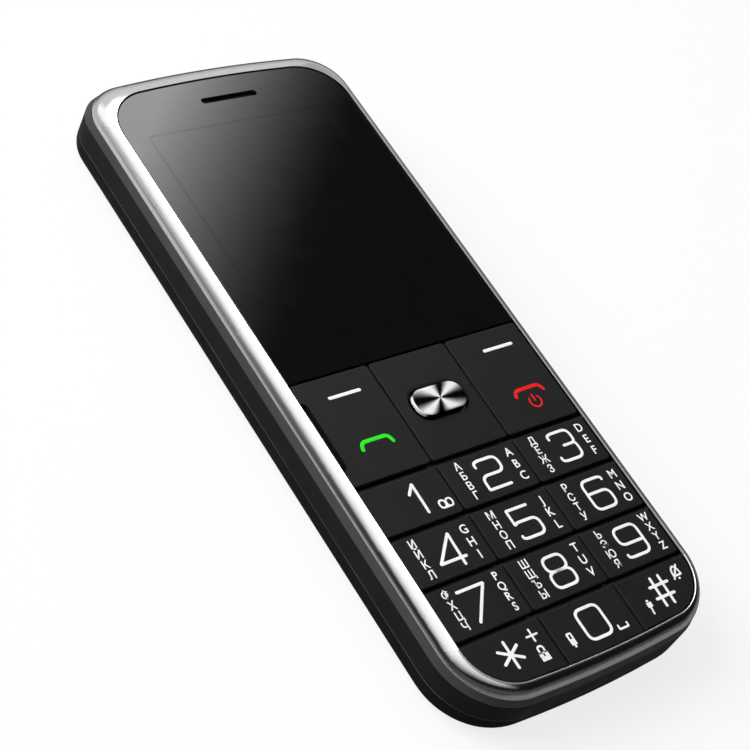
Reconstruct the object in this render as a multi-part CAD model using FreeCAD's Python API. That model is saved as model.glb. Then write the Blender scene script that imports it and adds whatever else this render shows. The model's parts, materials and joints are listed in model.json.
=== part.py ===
"""A bar mobile phone with large keys, lying on its back. Each piece becomes one STEP file in parts/.

Millimetres. The origin lies on the back face under the middle of the front opening, +X points to the
phone's right as seen from the front, +Y to its earpiece end, and +Z out of the screen. Heights are
stacked up from the back.
"""
import FreeCAD
import Part

import os
from math import atan2, cos, sin, sqrt

Vector = FreeCAD.Vector

# ---------------------------------------------------------------- outside form
BODY_WIDTH = 55.0
END_ARC_RADIUS = 240.0        # the gently arched ends, at the front opening
CORNER_RADIUS = 8.7           # at the front opening; every inner outline is an offset of it
UPPER_REACH = 1.5             # per millimetre of offset, how far the outer outlines reach at the upper end
UPPER_CORNER = -0.35          # per millimetre of offset, change of their corner radius there
LOWER_REACH = 0.88            # the same at the lower end
LOWER_CORNER = 1.4
RING_WIDTH = 2.3              # chrome ring, inner to outer edge, seen from the front
RING_DROP = 1.95              # fall of the ring's face from its inner to its outer edge
RING_RIM = 0.3                # upright outer rim of the ring
RING_BULGE = 0.5              # how far the ring's face stands out of the straight slope
RING_STEPS = 4                # outlines the ring's face is drawn through, less one
SIDE_STEP = 0.5               # how far the housings stand out beyond the ring
FRONT_SHELL_DEPTH = 3.8       # ring's inner edge down to the joint between the two housings
SEAM_HEIGHT = 5.1             # back face up to the battery cover's rim
COVER_EDGE_RADIUS = 3.8       # rounding between the back and the sides

# ---------------------------------------------------------------- walls and clearances
HOUSING_WALL = 1.4
COVER_SIDE_WALL = 1.1
COVER_BACK_WALL = 1.0
INNER_SKIN = 1.25             # rear housing's skin above the cover
BAY_WALL = 1.2
LEDGE_THICKNESS = 0.85        # shelf of the front housing that carries the ring
TONGUE_WALL = 0.7             # front housing's tongue inside the rear housing, not along the ports' end
TONGUE_DEPTH = 0.8
SEAM_GAP = 0.05               # between fixed shells that meet in a line
FIT_GAP = 0.15                # between a loose piece and the piece around it
SLIDE_GAP = 0.1               # between a card and its holder

# ---------------------------------------------------------------- stack, back to front
BATTERY_THICKNESS = 4.1
FLOOR_THICKNESS = 0.8
SHIELD_HEIGHT = 1.0
BOARD_THICKNESS = 0.8
SHEET_METAL = 0.2
LCD_THICKNESS = 1.85
GASKET_THICKNESS = 0.3
DECK_THICKNESS = 1.2
ADHESIVE_THICKNESS = 0.2
LENS_THICKNESS = 1.0
LENS_ROUND = 0.2
ADHESIVE_MARGIN = 0.5         # adhesive's edge inside the lens's edge
LENS_RECESS = 0.15            # lens and keys below the ring's inner edge

BATTERY_LOW = COVER_BACK_WALL + FIT_GAP
FLOOR_LOW = BATTERY_LOW + BATTERY_THICKNESS + FIT_GAP
FLOOR_TOP = FLOOR_LOW + FLOOR_THICKNESS
SHIELD_LOW = FLOOR_TOP + SLIDE_GAP
BOARD_LOW = SHIELD_LOW + SHIELD_HEIGHT
BOARD_TOP = BOARD_LOW + BOARD_THICKNESS
LCD_LOW = BOARD_TOP + SHEET_METAL
LCD_TOP = LCD_LOW + LCD_THICKNESS
DECK_LOW = LCD_TOP + GASKET_THICKNESS
DECK_TOP = DECK_LOW + DECK_THICKNESS
LENS_LOW = DECK_TOP + ADHESIVE_THICKNESS
LENS_TOP = LENS_LOW + LENS_THICKNESS
FRONT_HEIGHT = LENS_TOP + LENS_RECESS
RING_LOW = FRONT_HEIGHT - RING_DROP - RING_RIM
PARTING_HEIGHT = FRONT_HEIGHT - FRONT_SHELL_DEPTH
SKIN_LOW = COVER_BACK_WALL + SLIDE_GAP
POCKET_FLOOR = SKIN_LOW + INNER_SKIN
PORT_HEIGHT = (SEAM_HEIGHT + PARTING_HEIGHT) / 2
BODY_OFFSET = RING_WIDTH + SIDE_STEP
OPENING_HALF_WIDTH = BODY_WIDTH / 2 - BODY_OFFSET
HOUSING_INNER = BODY_OFFSET - HOUSING_WALL
COVER_INNER = BODY_OFFSET - COVER_SIDE_WALL
SKIRT_OFFSET = COVER_INNER - FIT_GAP

# ---------------------------------------------------------------- lengths, lower end to upper end
LOWER_POCKET = 20.0           # opening's lower end up to the battery bay
BATTERY_LENGTH = 53.5
CONNECTOR_DEPTH = 2.8
CARD_BAY_LENGTH = 30.4
UPPER_POCKET = 16.6           # card bay up to the opening's upper end

BAY_LENGTH = BATTERY_LENGTH + 2 * FIT_GAP
CONNECTOR_ROOM = CONNECTOR_DEPTH + 2 * BAY_WALL
OPENING_LENGTH = LOWER_POCKET + BAY_LENGTH + CONNECTOR_ROOM + CARD_BAY_LENGTH + UPPER_POCKET
OPENING_HALF_LENGTH = OPENING_LENGTH / 2
BODY_LENGTH = OPENING_LENGTH + BODY_OFFSET * (UPPER_REACH + LOWER_REACH)
BAY_LOW_END = LOWER_POCKET - OPENING_HALF_LENGTH
BAY_TOP_END = BAY_LOW_END + BAY_LENGTH
CARD_BAY_LOW_END = BAY_TOP_END + CONNECTOR_ROOM
CARD_BAY_TOP_END = CARD_BAY_LOW_END + CARD_BAY_LENGTH

# ---------------------------------------------------------------- keys
KEY_PITCH = 9.85              # row to row
ROW_GAP = 0.9
COLUMN_GAP = 0.3
COLUMN_EDGE = 8.35            # middle of the slit between the columns, from the centre line
FUNCTION_LENGTH = 21.1        # block of the soft keys, call keys and navigation key
CAP_HEIGHT = 2.0
CAP_ROUND = 0.25              # rounding of a cap's upper edges; under half of its corners'
CAP_CORNER = 0.6
KEY_TRAVEL = 0.35
KEY_STOP_GAP = 0.1            # left between a pressed cap and the rubber mat
KEY_FLOAT = KEY_TRAVEL + KEY_STOP_GAP
SELECT_LENGTH = 10.6
SELECT_WIDTH = 5.5
SELECT_CORNER = 2.4
SELECT_DROP = 10.45           # lens edge down to the select key's middle
SELECT_PROUD = 0.85           # select key above the caps around it
SELECT_ROUND = 0.45
MOAT = 0.45                   # gap around the select key
NAV_PAD_THICKNESS = 0.5
NAV_PAD_GAP = 0.25
NAV_PAD_MARGIN = 1.7          # pad's edge inside the navigation key's edge
NOTCH_LENGTH = 13.8           # recess in the left cap's outer edge
NOTCH_DEPTH = 1.2
NOTCH_LIP = 0.5               # housing strip that stands in the recess
NOTCH_MIDDLE_DROP = 10.6      # recess middle below the lens edge
RIB_WIDTH = 0.5
RIB_DROP = 1.1                # housing's ribs between the rows, below the caps' tops
MAT_THICKNESS = 0.8
MAT_FOOT_WIDTH = 1.0
MAT_EDGE = 0.9                # mat's edge below the lens edge
PLUNGER_RADIUS = 1.3
PLUNGER_GAP = 0.25
DOME_RADIUS = 1.9
DOME_TOP_RADIUS = 1.2
DOME_HEIGHT = 0.3
FILM_THICKNESS = 0.1

CAP_TOP = LENS_TOP
CAP_LOW = CAP_TOP - CAP_HEIGHT
MAT_TOP = CAP_LOW - KEY_FLOAT
MAT_LOW = MAT_TOP - MAT_THICKNESS
KEYPAD_LOW_END = -OPENING_HALF_LENGTH
FUNCTION_LOW_END = KEYPAD_LOW_END + 4 * KEY_PITCH
LENS_EDGE = FUNCTION_LOW_END + FUNCTION_LENGTH
DOME_COLUMN = (COLUMN_EDGE + OPENING_HALF_WIDTH) / 2
FUNCTION_MIDDLE = LENS_EDGE - FUNCTION_LENGTH / 2
SELECT_MIDDLE = LENS_EDGE - SELECT_DROP

# ---------------------------------------------------------------- display
WINDOW_SIDE_MARGIN = 4.3      # opening's side in to the window
WINDOW_TOP_MARGIN = 10.9      # opening's end down to the window
WINDOW_LOW_MARGIN = 8.2       # lens edge up to the window
WINDOW_CORNER = 0.5
LCD_SIDE_MARGIN = 0.8         # module beyond the window
LCD_TOP_MARGIN = 1.3
LCD_LOW_MARGIN = 4.4          # driver strip below the window
GASKET_WIDTH = 0.7
FLEX_WIDTH = 16.0
FLEX_THICKNESS = 0.15
FLEX_REACH = 1.9

WINDOW_TOP = OPENING_HALF_LENGTH - WINDOW_TOP_MARGIN
WINDOW_LOW = LENS_EDGE + WINDOW_LOW_MARGIN
WINDOW_LENGTH = WINDOW_TOP - WINDOW_LOW
WINDOW_WIDTH = 2 * (OPENING_HALF_WIDTH - WINDOW_SIDE_MARGIN)
LCD_TOP_END = WINDOW_TOP + LCD_TOP_MARGIN
LCD_LOW_END = WINDOW_LOW - LCD_LOW_MARGIN
LCD_HALF_WIDTH = WINDOW_WIDTH / 2 + LCD_SIDE_MARGIN

# ---------------------------------------------------------------- board, ports and small parts
BOARD_END_MARGIN = 1.7        # board's end inside the opening's end
EAR_SLOT_LENGTH = 12.0
EAR_SLOT_WIDTH = 1.3
EAR_SLOT_MARGIN = 5.1         # opening's end down to the slot's middle
EAR_MESH_BORDER = 0.7
RECEIVER_LENGTH = 15.0
RECEIVER_WIDTH = 6.0
RECEIVER_HEIGHT = 1.7
JACK_INSET = 11.0             # opening's side in to the jack's middle
JACK_BORE_RADIUS = 1.75       # takes a 3.5 mm plug
JACK_BODY_WIDTH = 6.0
JACK_BODY_HEIGHT = 3.9
JACK_LENGTH = 10.1            # the plug's tip reaches on into the notch behind it
JACK_TIP_ROOM = 2.0
USB_INSET = 11.5              # opening's side in to the socket's middle
USB_WIDTH = 7.5
USB_HEIGHT = 2.6
USB_LENGTH = 5.4
USB_WALL = 0.3
USB_TONGUE = 0.7
USB_RECESS = 0.5              # the socket's mouth inside the housing's end face
TORCH_LENS_RADIUS = 1.5
TORCH_FLANGE = 0.35
TORCH_FLANGE_DEPTH = 0.6
TORCH_LED_RADIUS = 1.2
TORCH_LED_LENGTH = 4.0
SPEAKER_LENGTH = 18.0
SPEAKER_WIDTH = 9.5
SPEAKER_HEIGHT = 2.6
SPEAKER_MARGIN = 10.0         # opening's end down to the speaker's middle
GRILLE_SLOTS = 4
GRILLE_SLOT_LENGTH = 11.0
GRILLE_SLOT_WIDTH = 0.9
GRILLE_PITCH = 1.9
MIC_INSET = 11.5              # opening's side in to the microphone's middle
MIC_MARGIN = 9.0              # lower end of the opening up to the microphone's middle
MIC_RADIUS = 2.0
MIC_HEIGHT = 1.6
MIC_BOOT_WALL = 0.8
MIC_HOLE_RADIUS = 0.6
CONTACT_RADIUS = 0.3
CONTACT_INSET = 2.0           # contact springs inside a transducer's ends
MOTOR_RADIUS = 1.9
MOTOR_LENGTH = 7.5
MOTOR_SHAFT_RADIUS = 0.4
MOTOR_SHAFT_LENGTH = 3.9
MOTOR_X = -8.0                # end of the motor's can that the shaft comes out of
MOTOR_MARGIN = 15.2
WEIGHT_RADIUS = 1.75
WEIGHT_LENGTH = 3.2
WEIGHT_SHAFT_GAP = 0.03
ANTENNA_X = -5.0
ANTENNA_LENGTH = 24.0
ANTENNA_WIDTH = 7.0
ANTENNA_MARGIN = 7.2
SHIELD_WALL = 0.15
LED_LENGTH = 1.6
LED_WIDTH = 0.8
LED_HEIGHT = 0.5

# ---------------------------------------------------------------- battery, cards and screws
BATTERY_INSET = 7.5           # opening's side in to the battery
BATTERY_CORNER = 1.2
CONNECTOR_LENGTH = 12.0
CONTACT_COUNT = 3
CONTACT_PITCH = 3.4
CONTACT_WIDTH = 1.2
PAD_THICKNESS = 0.05
CARD_BAY_INSET = 3.9          # opening's side in to the card bay
SIM_LENGTH = 25.0
SIM_WIDTH = 15.0
SIM_THICKNESS = 0.76
SIM_CUT = 3.0
MEMORY_LENGTH = 15.0
MEMORY_WIDTH = 11.0
MEMORY_THICKNESS = 0.7
MEMORY_CUT = 1.2
HOLDER_SHARE_SIM = 15.5       # length of card inside its holder
HOLDER_SHARE_MEMORY = 12.5
SCREW_BOARD_GAP = 0.45        # between the board's side and a boss
SCREW_END_MARGIN = 13.0       # opening's end in to the outer screws
SCREW_RADIUS = 0.7
SCREW_GAP = 0.03              # thread in its boss
SCREW_HEAD_RADIUS = 1.3
SCREW_HEAD_HEIGHT = 0.7
SCREW_LENGTH = 4.6
BOSS_RADIUS = 1.55
COLUMN_RADIUS = 1.95
HEAD_SEAT = 4.3               # under the screw head, above the back
GUIDE_RIB_WIDTH = 2.0
GUIDE_RIB_HEIGHT = 0.4
GUIDE_TOP_MARGIN = 25.0       # opening's upper end down to the upper ribs
GUIDE_MIDDLE = -12.0
GUIDE_LOW_MARGIN = 21.0
NAIL_NOTCH_LENGTH = 11.0
NAIL_NOTCH_DEPTH = 1.0

BATTERY_WIDTH = 2 * (OPENING_HALF_WIDTH - BATTERY_INSET)
BAY_HALF_WIDTH = BATTERY_WIDTH / 2 + FIT_GAP
CARD_BAY_HALF_WIDTH = OPENING_HALF_WIDTH - CARD_BAY_INSET
BOARD_HALF_WIDTH = LCD_HALF_WIDTH + SLIDE_GAP + SHEET_METAL
SCREW_X = BOARD_HALF_WIDTH + SCREW_BOARD_GAP + BOSS_RADIUS
SCREW_ROW = OPENING_HALF_LENGTH - SCREW_END_MARGIN
GUIDE_ROWS = (OPENING_HALF_LENGTH - GUIDE_TOP_MARGIN, GUIDE_MIDDLE, GUIDE_LOW_MARGIN - OPENING_HALF_LENGTH)
JACK_X = JACK_INSET - OPENING_HALF_WIDTH
USB_X = OPENING_HALF_WIDTH - USB_INSET
MIC_X = OPENING_HALF_WIDTH - MIC_INSET
EAR_SLOT_Y = OPENING_HALF_LENGTH - EAR_SLOT_MARGIN
SPEAKER_Y = OPENING_HALF_LENGTH - SPEAKER_MARGIN
MIC_Y = KEYPAD_LOW_END + MIC_MARGIN
MOTOR_Y = KEYPAD_LOW_END + MOTOR_MARGIN
ANTENNA_Y = KEYPAD_LOW_END + ANTENNA_MARGIN
THROUGH = 40.0                # reach of a cutting tool past the phone
ROUND_END = 0.01              # flat left between the two roundings of a slot's end


# ================================================================ shapes
class End:
    """One arched end of an outline, with its two round corners."""

    def __init__(self, sign, offset, reach, corner):
        self.sign = sign
        self.half_length = OPENING_HALF_LENGTH + reach
        self.radius = END_ARC_RADIUS + offset
        self.corner = corner
        self.corner_x = OPENING_HALF_WIDTH + offset - corner
        self.arc_y = self.half_length - self.radius
        distance = self.radius - corner
        self.corner_y = self.arc_y + sqrt(distance ** 2 - self.corner_x ** 2)
        self.turn = atan2(self.corner_y - self.arc_y, self.corner_x)

    def end_y(self, x):
        """How far the end reaches along Y at a distance x from the centre line."""
        if x < self.radius * cos(self.turn):
            return self.arc_y + sqrt(self.radius ** 2 - x ** 2)
        return self.corner_y + sqrt(self.corner ** 2 - (x - self.corner_x) ** 2)

    def corner_arc(self, x_sign, start, end, z):
        """One round corner, between two angles."""
        spots = [
            Vector(x_sign * (self.corner_x + self.corner * cos(angle)),
                   self.sign * (self.corner_y + self.corner * sin(angle)), z)
            for angle in (start, (start + end) / 2, end)
        ]
        return Part.Arc(*spots).toShape()

    def arch(self, z):
        """The arched end between the corners."""
        touch_x = self.sign * self.radius * cos(self.turn)
        touch_y = self.sign * (self.arc_y + self.radius * sin(self.turn))
        crest = Vector(0, self.sign * self.half_length, z)
        return Part.Arc(Vector(touch_x, touch_y, z), crest, Vector(-touch_x, touch_y, z)).toShape()


class Outline:
    """The front opening's outline grown by an offset: straight sides, arched ends, round corners."""

    def __init__(self, offset):
        inside = min(offset, 0)
        outside = max(offset, 0)
        self.half_width = OPENING_HALF_WIDTH + offset
        self.upper = End(1, offset, inside + outside * UPPER_REACH,
                         CORNER_RADIUS + inside + outside * UPPER_CORNER)
        self.lower = End(-1, offset, inside + outside * LOWER_REACH,
                         CORNER_RADIUS + inside + outside * LOWER_CORNER)

    def wire(self, z):
        """The closed outline at height z."""
        edges = []
        for near, far in ((self.upper, self.lower), (self.lower, self.upper)):
            x = near.sign * self.half_width
            side_ends = (Vector(x, -near.sign * far.corner_y, z), Vector(x, near.sign * near.corner_y, z))
            edges += [
                Part.makeLine(*side_ends),
                near.corner_arc(near.sign, 0, near.turn, z),
                near.arch(z),
                near.corner_arc(-near.sign, near.turn, 0, z),
            ]
        return Part.Wire(edges)


def slab(offset, low, high):
    """A plate with the phone's outline."""
    return Part.Face(Outline(offset).wire(low)).extrude(Vector(0, 0, high - low))


def tapered_slab(low_offset, low, high_offset, high):
    """A plate whose outline changes from one offset to another."""
    return Part.makeLoft([Outline(low_offset).wire(low), Outline(high_offset).wire(high)], True, True)


def block(x_low, x_high, y_low, y_high, low, high):
    """A box between six planes."""
    return Part.makeBox(x_high - x_low, y_high - y_low, high - low, Vector(x_low, y_low, low))


def upright_edges(shape):
    """Edges that run along Z."""
    return [e for e in shape.Edges if abs(e.tangentAt(e.FirstParameter).z) > 0.99]


def edges_at(shape, z):
    """Edges that lie in the plane at height z."""
    return [e for e in shape.Edges if abs(e.BoundBox.ZMin - z) < 1e-4 and abs(e.BoundBox.ZMax - z) < 1e-4]


def rounded_block(x_middle, y_middle, x_size, y_size, radius, low, high):
    """A box with rounded upright edges."""
    shape = block(x_middle - x_size / 2, x_middle + x_size / 2,
                  y_middle - y_size / 2, y_middle + y_size / 2, low, high)
    return shape.makeFillet(radius, upright_edges(shape))


def round_rod(x, y, low, high, radius):
    """An upright cylinder."""
    return Part.makeCylinder(radius, high - low, Vector(x, y, low))


def lying_rod(x, y, z, length, radius, direction):
    """A cylinder that starts at a point and lies along a direction."""
    return Part.makeCylinder(radius, length, Vector(x, y, z), direction)


def rounded_below(shape, z, radius):
    """The shape with the edges of its underside rounded."""
    return shape.makeFillet(radius, edges_at(shape, z))


def rounded_above(shape, z, radius):
    """The shape with the edges of its top rounded."""
    return shape.makeFillet(radius, edges_at(shape, z))


def cut_all(shape, tools):
    """The shape with every tool cut out of it."""
    return shape.cut(list(tools)) if tools else shape


def inner_plate(offset, half_width, y_low, y_high, low, high):
    """A plate that follows the phone's ends and corners but keeps to a width and a stretch."""
    return slab(offset, low, high).common(block(-half_width, half_width, y_low, y_high, low, high))


def ear_slot(low, high):
    """Slot in front of the earpiece."""
    return rounded_block(0, EAR_SLOT_Y, EAR_SLOT_LENGTH, EAR_SLOT_WIDTH, EAR_SLOT_WIDTH / 2 - ROUND_END,
                         low, high)


def grille_slots(low, high):
    """Sound slots behind the loudspeaker."""
    return [
        rounded_block(0, SPEAKER_Y + (row - (GRILLE_SLOTS - 1) / 2) * GRILLE_PITCH, GRILLE_SLOT_LENGTH,
                      GRILLE_SLOT_WIDTH, GRILLE_SLOT_WIDTH / 2 - ROUND_END, low, high)
        for row in range(GRILLE_SLOTS)
    ]


def screw_places():
    """Middles of the six housing screws."""
    return [(side * SCREW_X, y) for y in (SCREW_ROW, 0, -SCREW_ROW) for side in (-1, 1)]


# ================================================================ outer shells
def chrome_ring():
    """Bright frame around lens and keys, with a bulged slope."""
    inner = Vector(0, 0, FRONT_HEIGHT)
    chord = Vector(RING_WIDTH, 0, -RING_DROP)
    outward = Vector(-chord.z, 0, chord.x).normalize()
    outlines = []
    for step in range(RING_STEPS + 1):
        part = step / RING_STEPS
        spot = inner + chord * part + outward * (4 * RING_BULGE * part * (1 - part))
        outlines.append(Outline(spot.x).wire(spot.z))
    slope = Part.makeLoft(outlines, True, False)
    rim = slab(RING_WIDTH, RING_LOW, RING_LOW + RING_RIM)
    return slope.fuse(rim).removeSplitter().cut(slab(0, RING_LOW - 1, FRONT_HEIGHT + 1))


def keypad_opening():
    """Space for the key caps, up to the ring's wall."""
    field = slab(-SEAM_GAP, MAT_LOW - THROUGH, FRONT_HEIGHT)
    return field.common(block(-THROUGH, THROUGH, -BODY_LENGTH, LENS_EDGE, -THROUGH, THROUGH))


def keypad_ribs():
    """Cross ribs of the front housing that show in the gaps between the rows."""
    ribs = []
    for row in range(4):
        y = FUNCTION_LOW_END - row * KEY_PITCH
        reach = OPENING_HALF_WIDTH - 2 * SEAM_GAP
        top = CAP_TOP - RIB_DROP
        low = MAT_TOP + SLIDE_GAP
        ribs.append(block(-reach, reach, y - RIB_WIDTH / 2, y + RIB_WIDTH / 2, low, top))
        foot = OPENING_HALF_WIDTH + SIDE_STEP
        ribs.append(block(-foot, foot, y - RIB_WIDTH / 2, y + RIB_WIDTH / 2, low, RING_LOW))
    return ribs


def notch_lip():
    """Strip of the front housing that stands in the left cap's recess."""
    y = LENS_EDGE - NOTCH_MIDDLE_DROP
    half = NOTCH_LENGTH / 2 - NOTCH_DEPTH
    outer = -OPENING_HALF_WIDTH + 2 * SEAM_GAP
    low = MAT_TOP + SLIDE_GAP
    strip = block(outer, outer + NOTCH_LIP, y - half, y + half, low, CAP_TOP - CAP_ROUND)
    foot = block(outer - SIDE_STEP, outer + NOTCH_LIP, y - half, y + half, low, RING_LOW)
    return [strip, foot]


def front_housing():
    """Front shell: outer wall with its facet, ring shelf, display deck, key ribs and screw bosses."""
    facet_top = RING_WIDTH + SEAM_GAP
    shell = tapered_slab(BODY_OFFSET, PARTING_HEIGHT, facet_top, RING_LOW)
    shell = shell.fuse(slab(-SEAM_GAP, RING_LOW - LEDGE_THICKNESS, DECK_TOP))
    ledge_low = RING_LOW - LEDGE_THICKNESS
    shell = cut_all(shell, [
        slab(HOUSING_INNER, PARTING_HEIGHT - 1, ledge_low),
        slab(-BAY_WALL, PARTING_HEIGHT - 1, DECK_LOW),
        keypad_opening(),
    ])
    tongue_outer = HOUSING_INNER - SLIDE_GAP
    tongue_hollow = slab(tongue_outer - TONGUE_WALL, PARTING_HEIGHT - 2 * TONGUE_DEPTH, ledge_low)
    tongue = slab(tongue_outer, PARTING_HEIGHT - TONGUE_DEPTH, PARTING_HEIGHT)
    tongue = tongue.cut(block(-BODY_WIDTH, BODY_WIDTH, SCREW_ROW, BODY_LENGTH, 0, FRONT_HEIGHT))
    tongue = tongue.cut(tongue_hollow)
    upper_wall = slab(HOUSING_INNER + SEAM_GAP, PARTING_HEIGHT, ledge_low).cut(tongue_hollow)
    shell = shell.fuse([tongue, upper_wall] + keypad_ribs() + notch_lip())
    bosses = [round_rod(x, y, FLOOR_TOP + SLIDE_GAP, ledge_low + SEAM_GAP, BOSS_RADIUS)
              for x, y in screw_places()]
    shell = shell.fuse(bosses)
    window = rounded_block(0, (WINDOW_TOP + WINDOW_LOW) / 2, WINDOW_WIDTH, WINDOW_LENGTH, WINDOW_CORNER,
                           DECK_LOW - 1, DECK_TOP + 1)
    holes = [round_rod(x, y, 0, HEAD_SEAT + SCREW_LENGTH + SLIDE_GAP, SCREW_RADIUS + SCREW_GAP)
             for x, y in screw_places()]
    return cut_all(shell, [window, ear_slot(DECK_LOW - 1, DECK_TOP + 1)] + holes)


def rear_housing():
    """Middle shell: side wall, board floor, battery and card bays, screw columns and port holes."""
    seam = SEAM_HEIGHT + SEAM_GAP
    wall_top = PARTING_HEIGHT - SEAM_GAP
    upper = slab(BODY_OFFSET, seam, wall_top).cut(slab(HOUSING_INNER, FLOOR_TOP, wall_top + 1))
    skirt_round = COVER_EDGE_RADIUS - COVER_SIDE_WALL - FIT_GAP
    lower = rounded_below(slab(SKIRT_OFFSET, SKIN_LOW, seam + SEAM_GAP), SKIN_LOW, skirt_round)
    shell = upper.fuse(lower)

    pocket = slab(SKIRT_OFFSET - BAY_WALL, POCKET_FLOOR, FLOOR_TOP + 1)
    pocket = rounded_below(pocket, POCKET_FLOOR, skirt_round - BAY_WALL)
    bay_wall_x = BAY_HALF_WIDTH + BAY_WALL
    card_wall_x = CARD_BAY_HALF_WIDTH + BAY_WALL
    solid_parts = [
        block(-bay_wall_x, bay_wall_x, BAY_LOW_END - BAY_WALL, CARD_BAY_LOW_END, 0, THROUGH),
        block(-card_wall_x, card_wall_x, CARD_BAY_LOW_END - BAY_WALL, CARD_BAY_TOP_END + BAY_WALL,
              0, THROUGH),
    ]
    solid_parts += [round_rod(x, y, 0, THROUGH, COLUMN_RADIUS) for x, y in screw_places()]
    shell = shell.cut(cut_all(pocket, solid_parts))

    bay_middle = (BAY_LOW_END + BAY_TOP_END) / 2
    window_half = CONNECTOR_LENGTH / 2 + SLIDE_GAP
    tools = [
        rounded_block(0, bay_middle, 2 * BAY_HALF_WIDTH, BAY_TOP_END - BAY_LOW_END, BATTERY_CORNER,
                      -1, FLOOR_LOW),
        block(-CARD_BAY_HALF_WIDTH, CARD_BAY_HALF_WIDTH, CARD_BAY_LOW_END, CARD_BAY_TOP_END, -1, THROUGH),
        block(-window_half, window_half, BAY_TOP_END - BAY_WALL,
              BAY_TOP_END + CONNECTOR_DEPTH + 2 * SLIDE_GAP, POCKET_FLOOR, FLOOR_TOP + 1),
        round_rod(MIC_X, MIC_Y, 0, POCKET_FLOOR + 1, MIC_HOLE_RADIUS),
    ]
    tools += grille_slots(0, POCKET_FLOOR + 1)
    tools += [round_rod(x, y, 0, HEAD_SEAT, SCREW_HEAD_RADIUS + FIT_GAP) for x, y in screw_places()]
    tools += [round_rod(x, y, 0, FLOOR_TOP + 1, SCREW_RADIUS + FIT_GAP) for x, y in screw_places()]
    tools += guide_blocks(SKIRT_OFFSET - GUIDE_RIB_HEIGHT - FIT_GAP, BODY_OFFSET,
                          GUIDE_RIB_WIDTH + 2 * FIT_GAP, 0, SEAM_HEIGHT)
    tools += port_holes()
    return cut_all(shell, tools)


def guide_blocks(inner_offset, outer_offset, width, low, high):
    """Six blocks at the places of the cover's guide ribs."""
    inner = OPENING_HALF_WIDTH + inner_offset
    outer = OPENING_HALF_WIDTH + outer_offset
    blocks = []
    for y in GUIDE_ROWS:
        blocks.append(block(inner, outer, y - width / 2, y + width / 2, low, high))
        blocks.append(block(-outer, -inner, y - width / 2, y + width / 2, low, high))
    return blocks


def port_holes():
    """Room in the end wall for the headphone jack, the charging socket and the torch lens."""
    start = OPENING_HALF_LENGTH - BAY_WALL
    along = Vector(0, 1, 0)
    reach = BODY_OFFSET * UPPER_REACH + 2 * BAY_WALL
    socket_width = USB_WIDTH / 2 + FIT_GAP
    socket_height = USB_HEIGHT / 2 + FIT_GAP
    jack_half = JACK_BODY_WIDTH / 2 + FIT_GAP
    flange_half = TORCH_LENS_RADIUS + TORCH_FLANGE + FIT_GAP
    inside = slab(HOUSING_INNER, 0, THROUGH)
    return [
        block(JACK_X - jack_half, JACK_X + jack_half, start, BODY_LENGTH,
              PORT_HEIGHT - JACK_BODY_HEIGHT / 2 - SLIDE_GAP, FLOOR_TOP + 1).common(inside),
        block(-flange_half, flange_half, start, BODY_LENGTH,
              PORT_HEIGHT - flange_half, FLOOR_TOP + 1).common(inside),
        lying_rod(JACK_X, start, PORT_HEIGHT, reach, JACK_BORE_RADIUS, along),
        lying_rod(0, start, PORT_HEIGHT, reach, TORCH_LENS_RADIUS + SEAM_GAP, along),
        block(USB_X - socket_width, USB_X + socket_width, start, start + reach,
              PORT_HEIGHT - socket_height, PORT_HEIGHT + socket_height),
    ]


def battery_cover():
    """Back shell with rounded edges, sound slots, microphone hole, nail notch and guide ribs."""
    shell = rounded_below(slab(BODY_OFFSET, 0, SEAM_HEIGHT), 0, COVER_EDGE_RADIUS)
    hollow = slab(COVER_INNER, COVER_BACK_WALL, SEAM_HEIGHT + 1)
    hollow = rounded_below(hollow, COVER_BACK_WALL, COVER_EDGE_RADIUS - COVER_SIDE_WALL)
    ribs = guide_blocks(COVER_INNER - GUIDE_RIB_HEIGHT, COVER_INNER + SEAM_GAP, GUIDE_RIB_WIDTH,
                        SEAM_HEIGHT - 4 * GUIDE_RIB_HEIGHT, SEAM_HEIGHT - SLIDE_GAP)
    shell = shell.cut(hollow).fuse(ribs)
    end = Outline(BODY_OFFSET).upper.half_length
    tools = [
        block(-NAIL_NOTCH_LENGTH / 2, NAIL_NOTCH_LENGTH / 2, end - 2 * COVER_SIDE_WALL, end + 1,
              SEAM_HEIGHT - NAIL_NOTCH_DEPTH, SEAM_HEIGHT + 1),
        round_rod(MIC_X, MIC_Y, -1, COVER_BACK_WALL + 1, MIC_HOLE_RADIUS),
    ]
    return cut_all(shell, tools + grille_slots(-1, COVER_BACK_WALL + 1))


# ================================================================ front face
def display_lens():
    """Dark window over the display, with the earpiece slot."""
    lens = slab(-FIT_GAP, LENS_LOW, LENS_TOP)
    lens = lens.common(block(-THROUGH, THROUGH, LENS_EDGE + FIT_GAP, BODY_LENGTH, 0, THROUGH))
    lens = rounded_above(lens, LENS_TOP, LENS_ROUND)
    return lens.cut(ear_slot(LENS_LOW - 1, LENS_TOP + 1))


def lens_adhesive():
    """Adhesive frame between the lens and the deck."""
    sheet = slab(-FIT_GAP - ADHESIVE_MARGIN, DECK_TOP, LENS_LOW)
    sheet = sheet.common(block(-THROUGH, THROUGH, LENS_EDGE + ADHESIVE_MARGIN, BODY_LENGTH, 0, THROUGH))
    window = rounded_block(0, (WINDOW_TOP + WINDOW_LOW) / 2, WINDOW_WIDTH, WINDOW_LENGTH, WINDOW_CORNER,
                           DECK_TOP - 1, LENS_LOW + 1)
    mesh_room = ear_mesh_plate(EAR_MESH_BORDER + SLIDE_GAP, DECK_TOP - 1, LENS_LOW + 1)
    return cut_all(sheet, [window, mesh_room])


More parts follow.
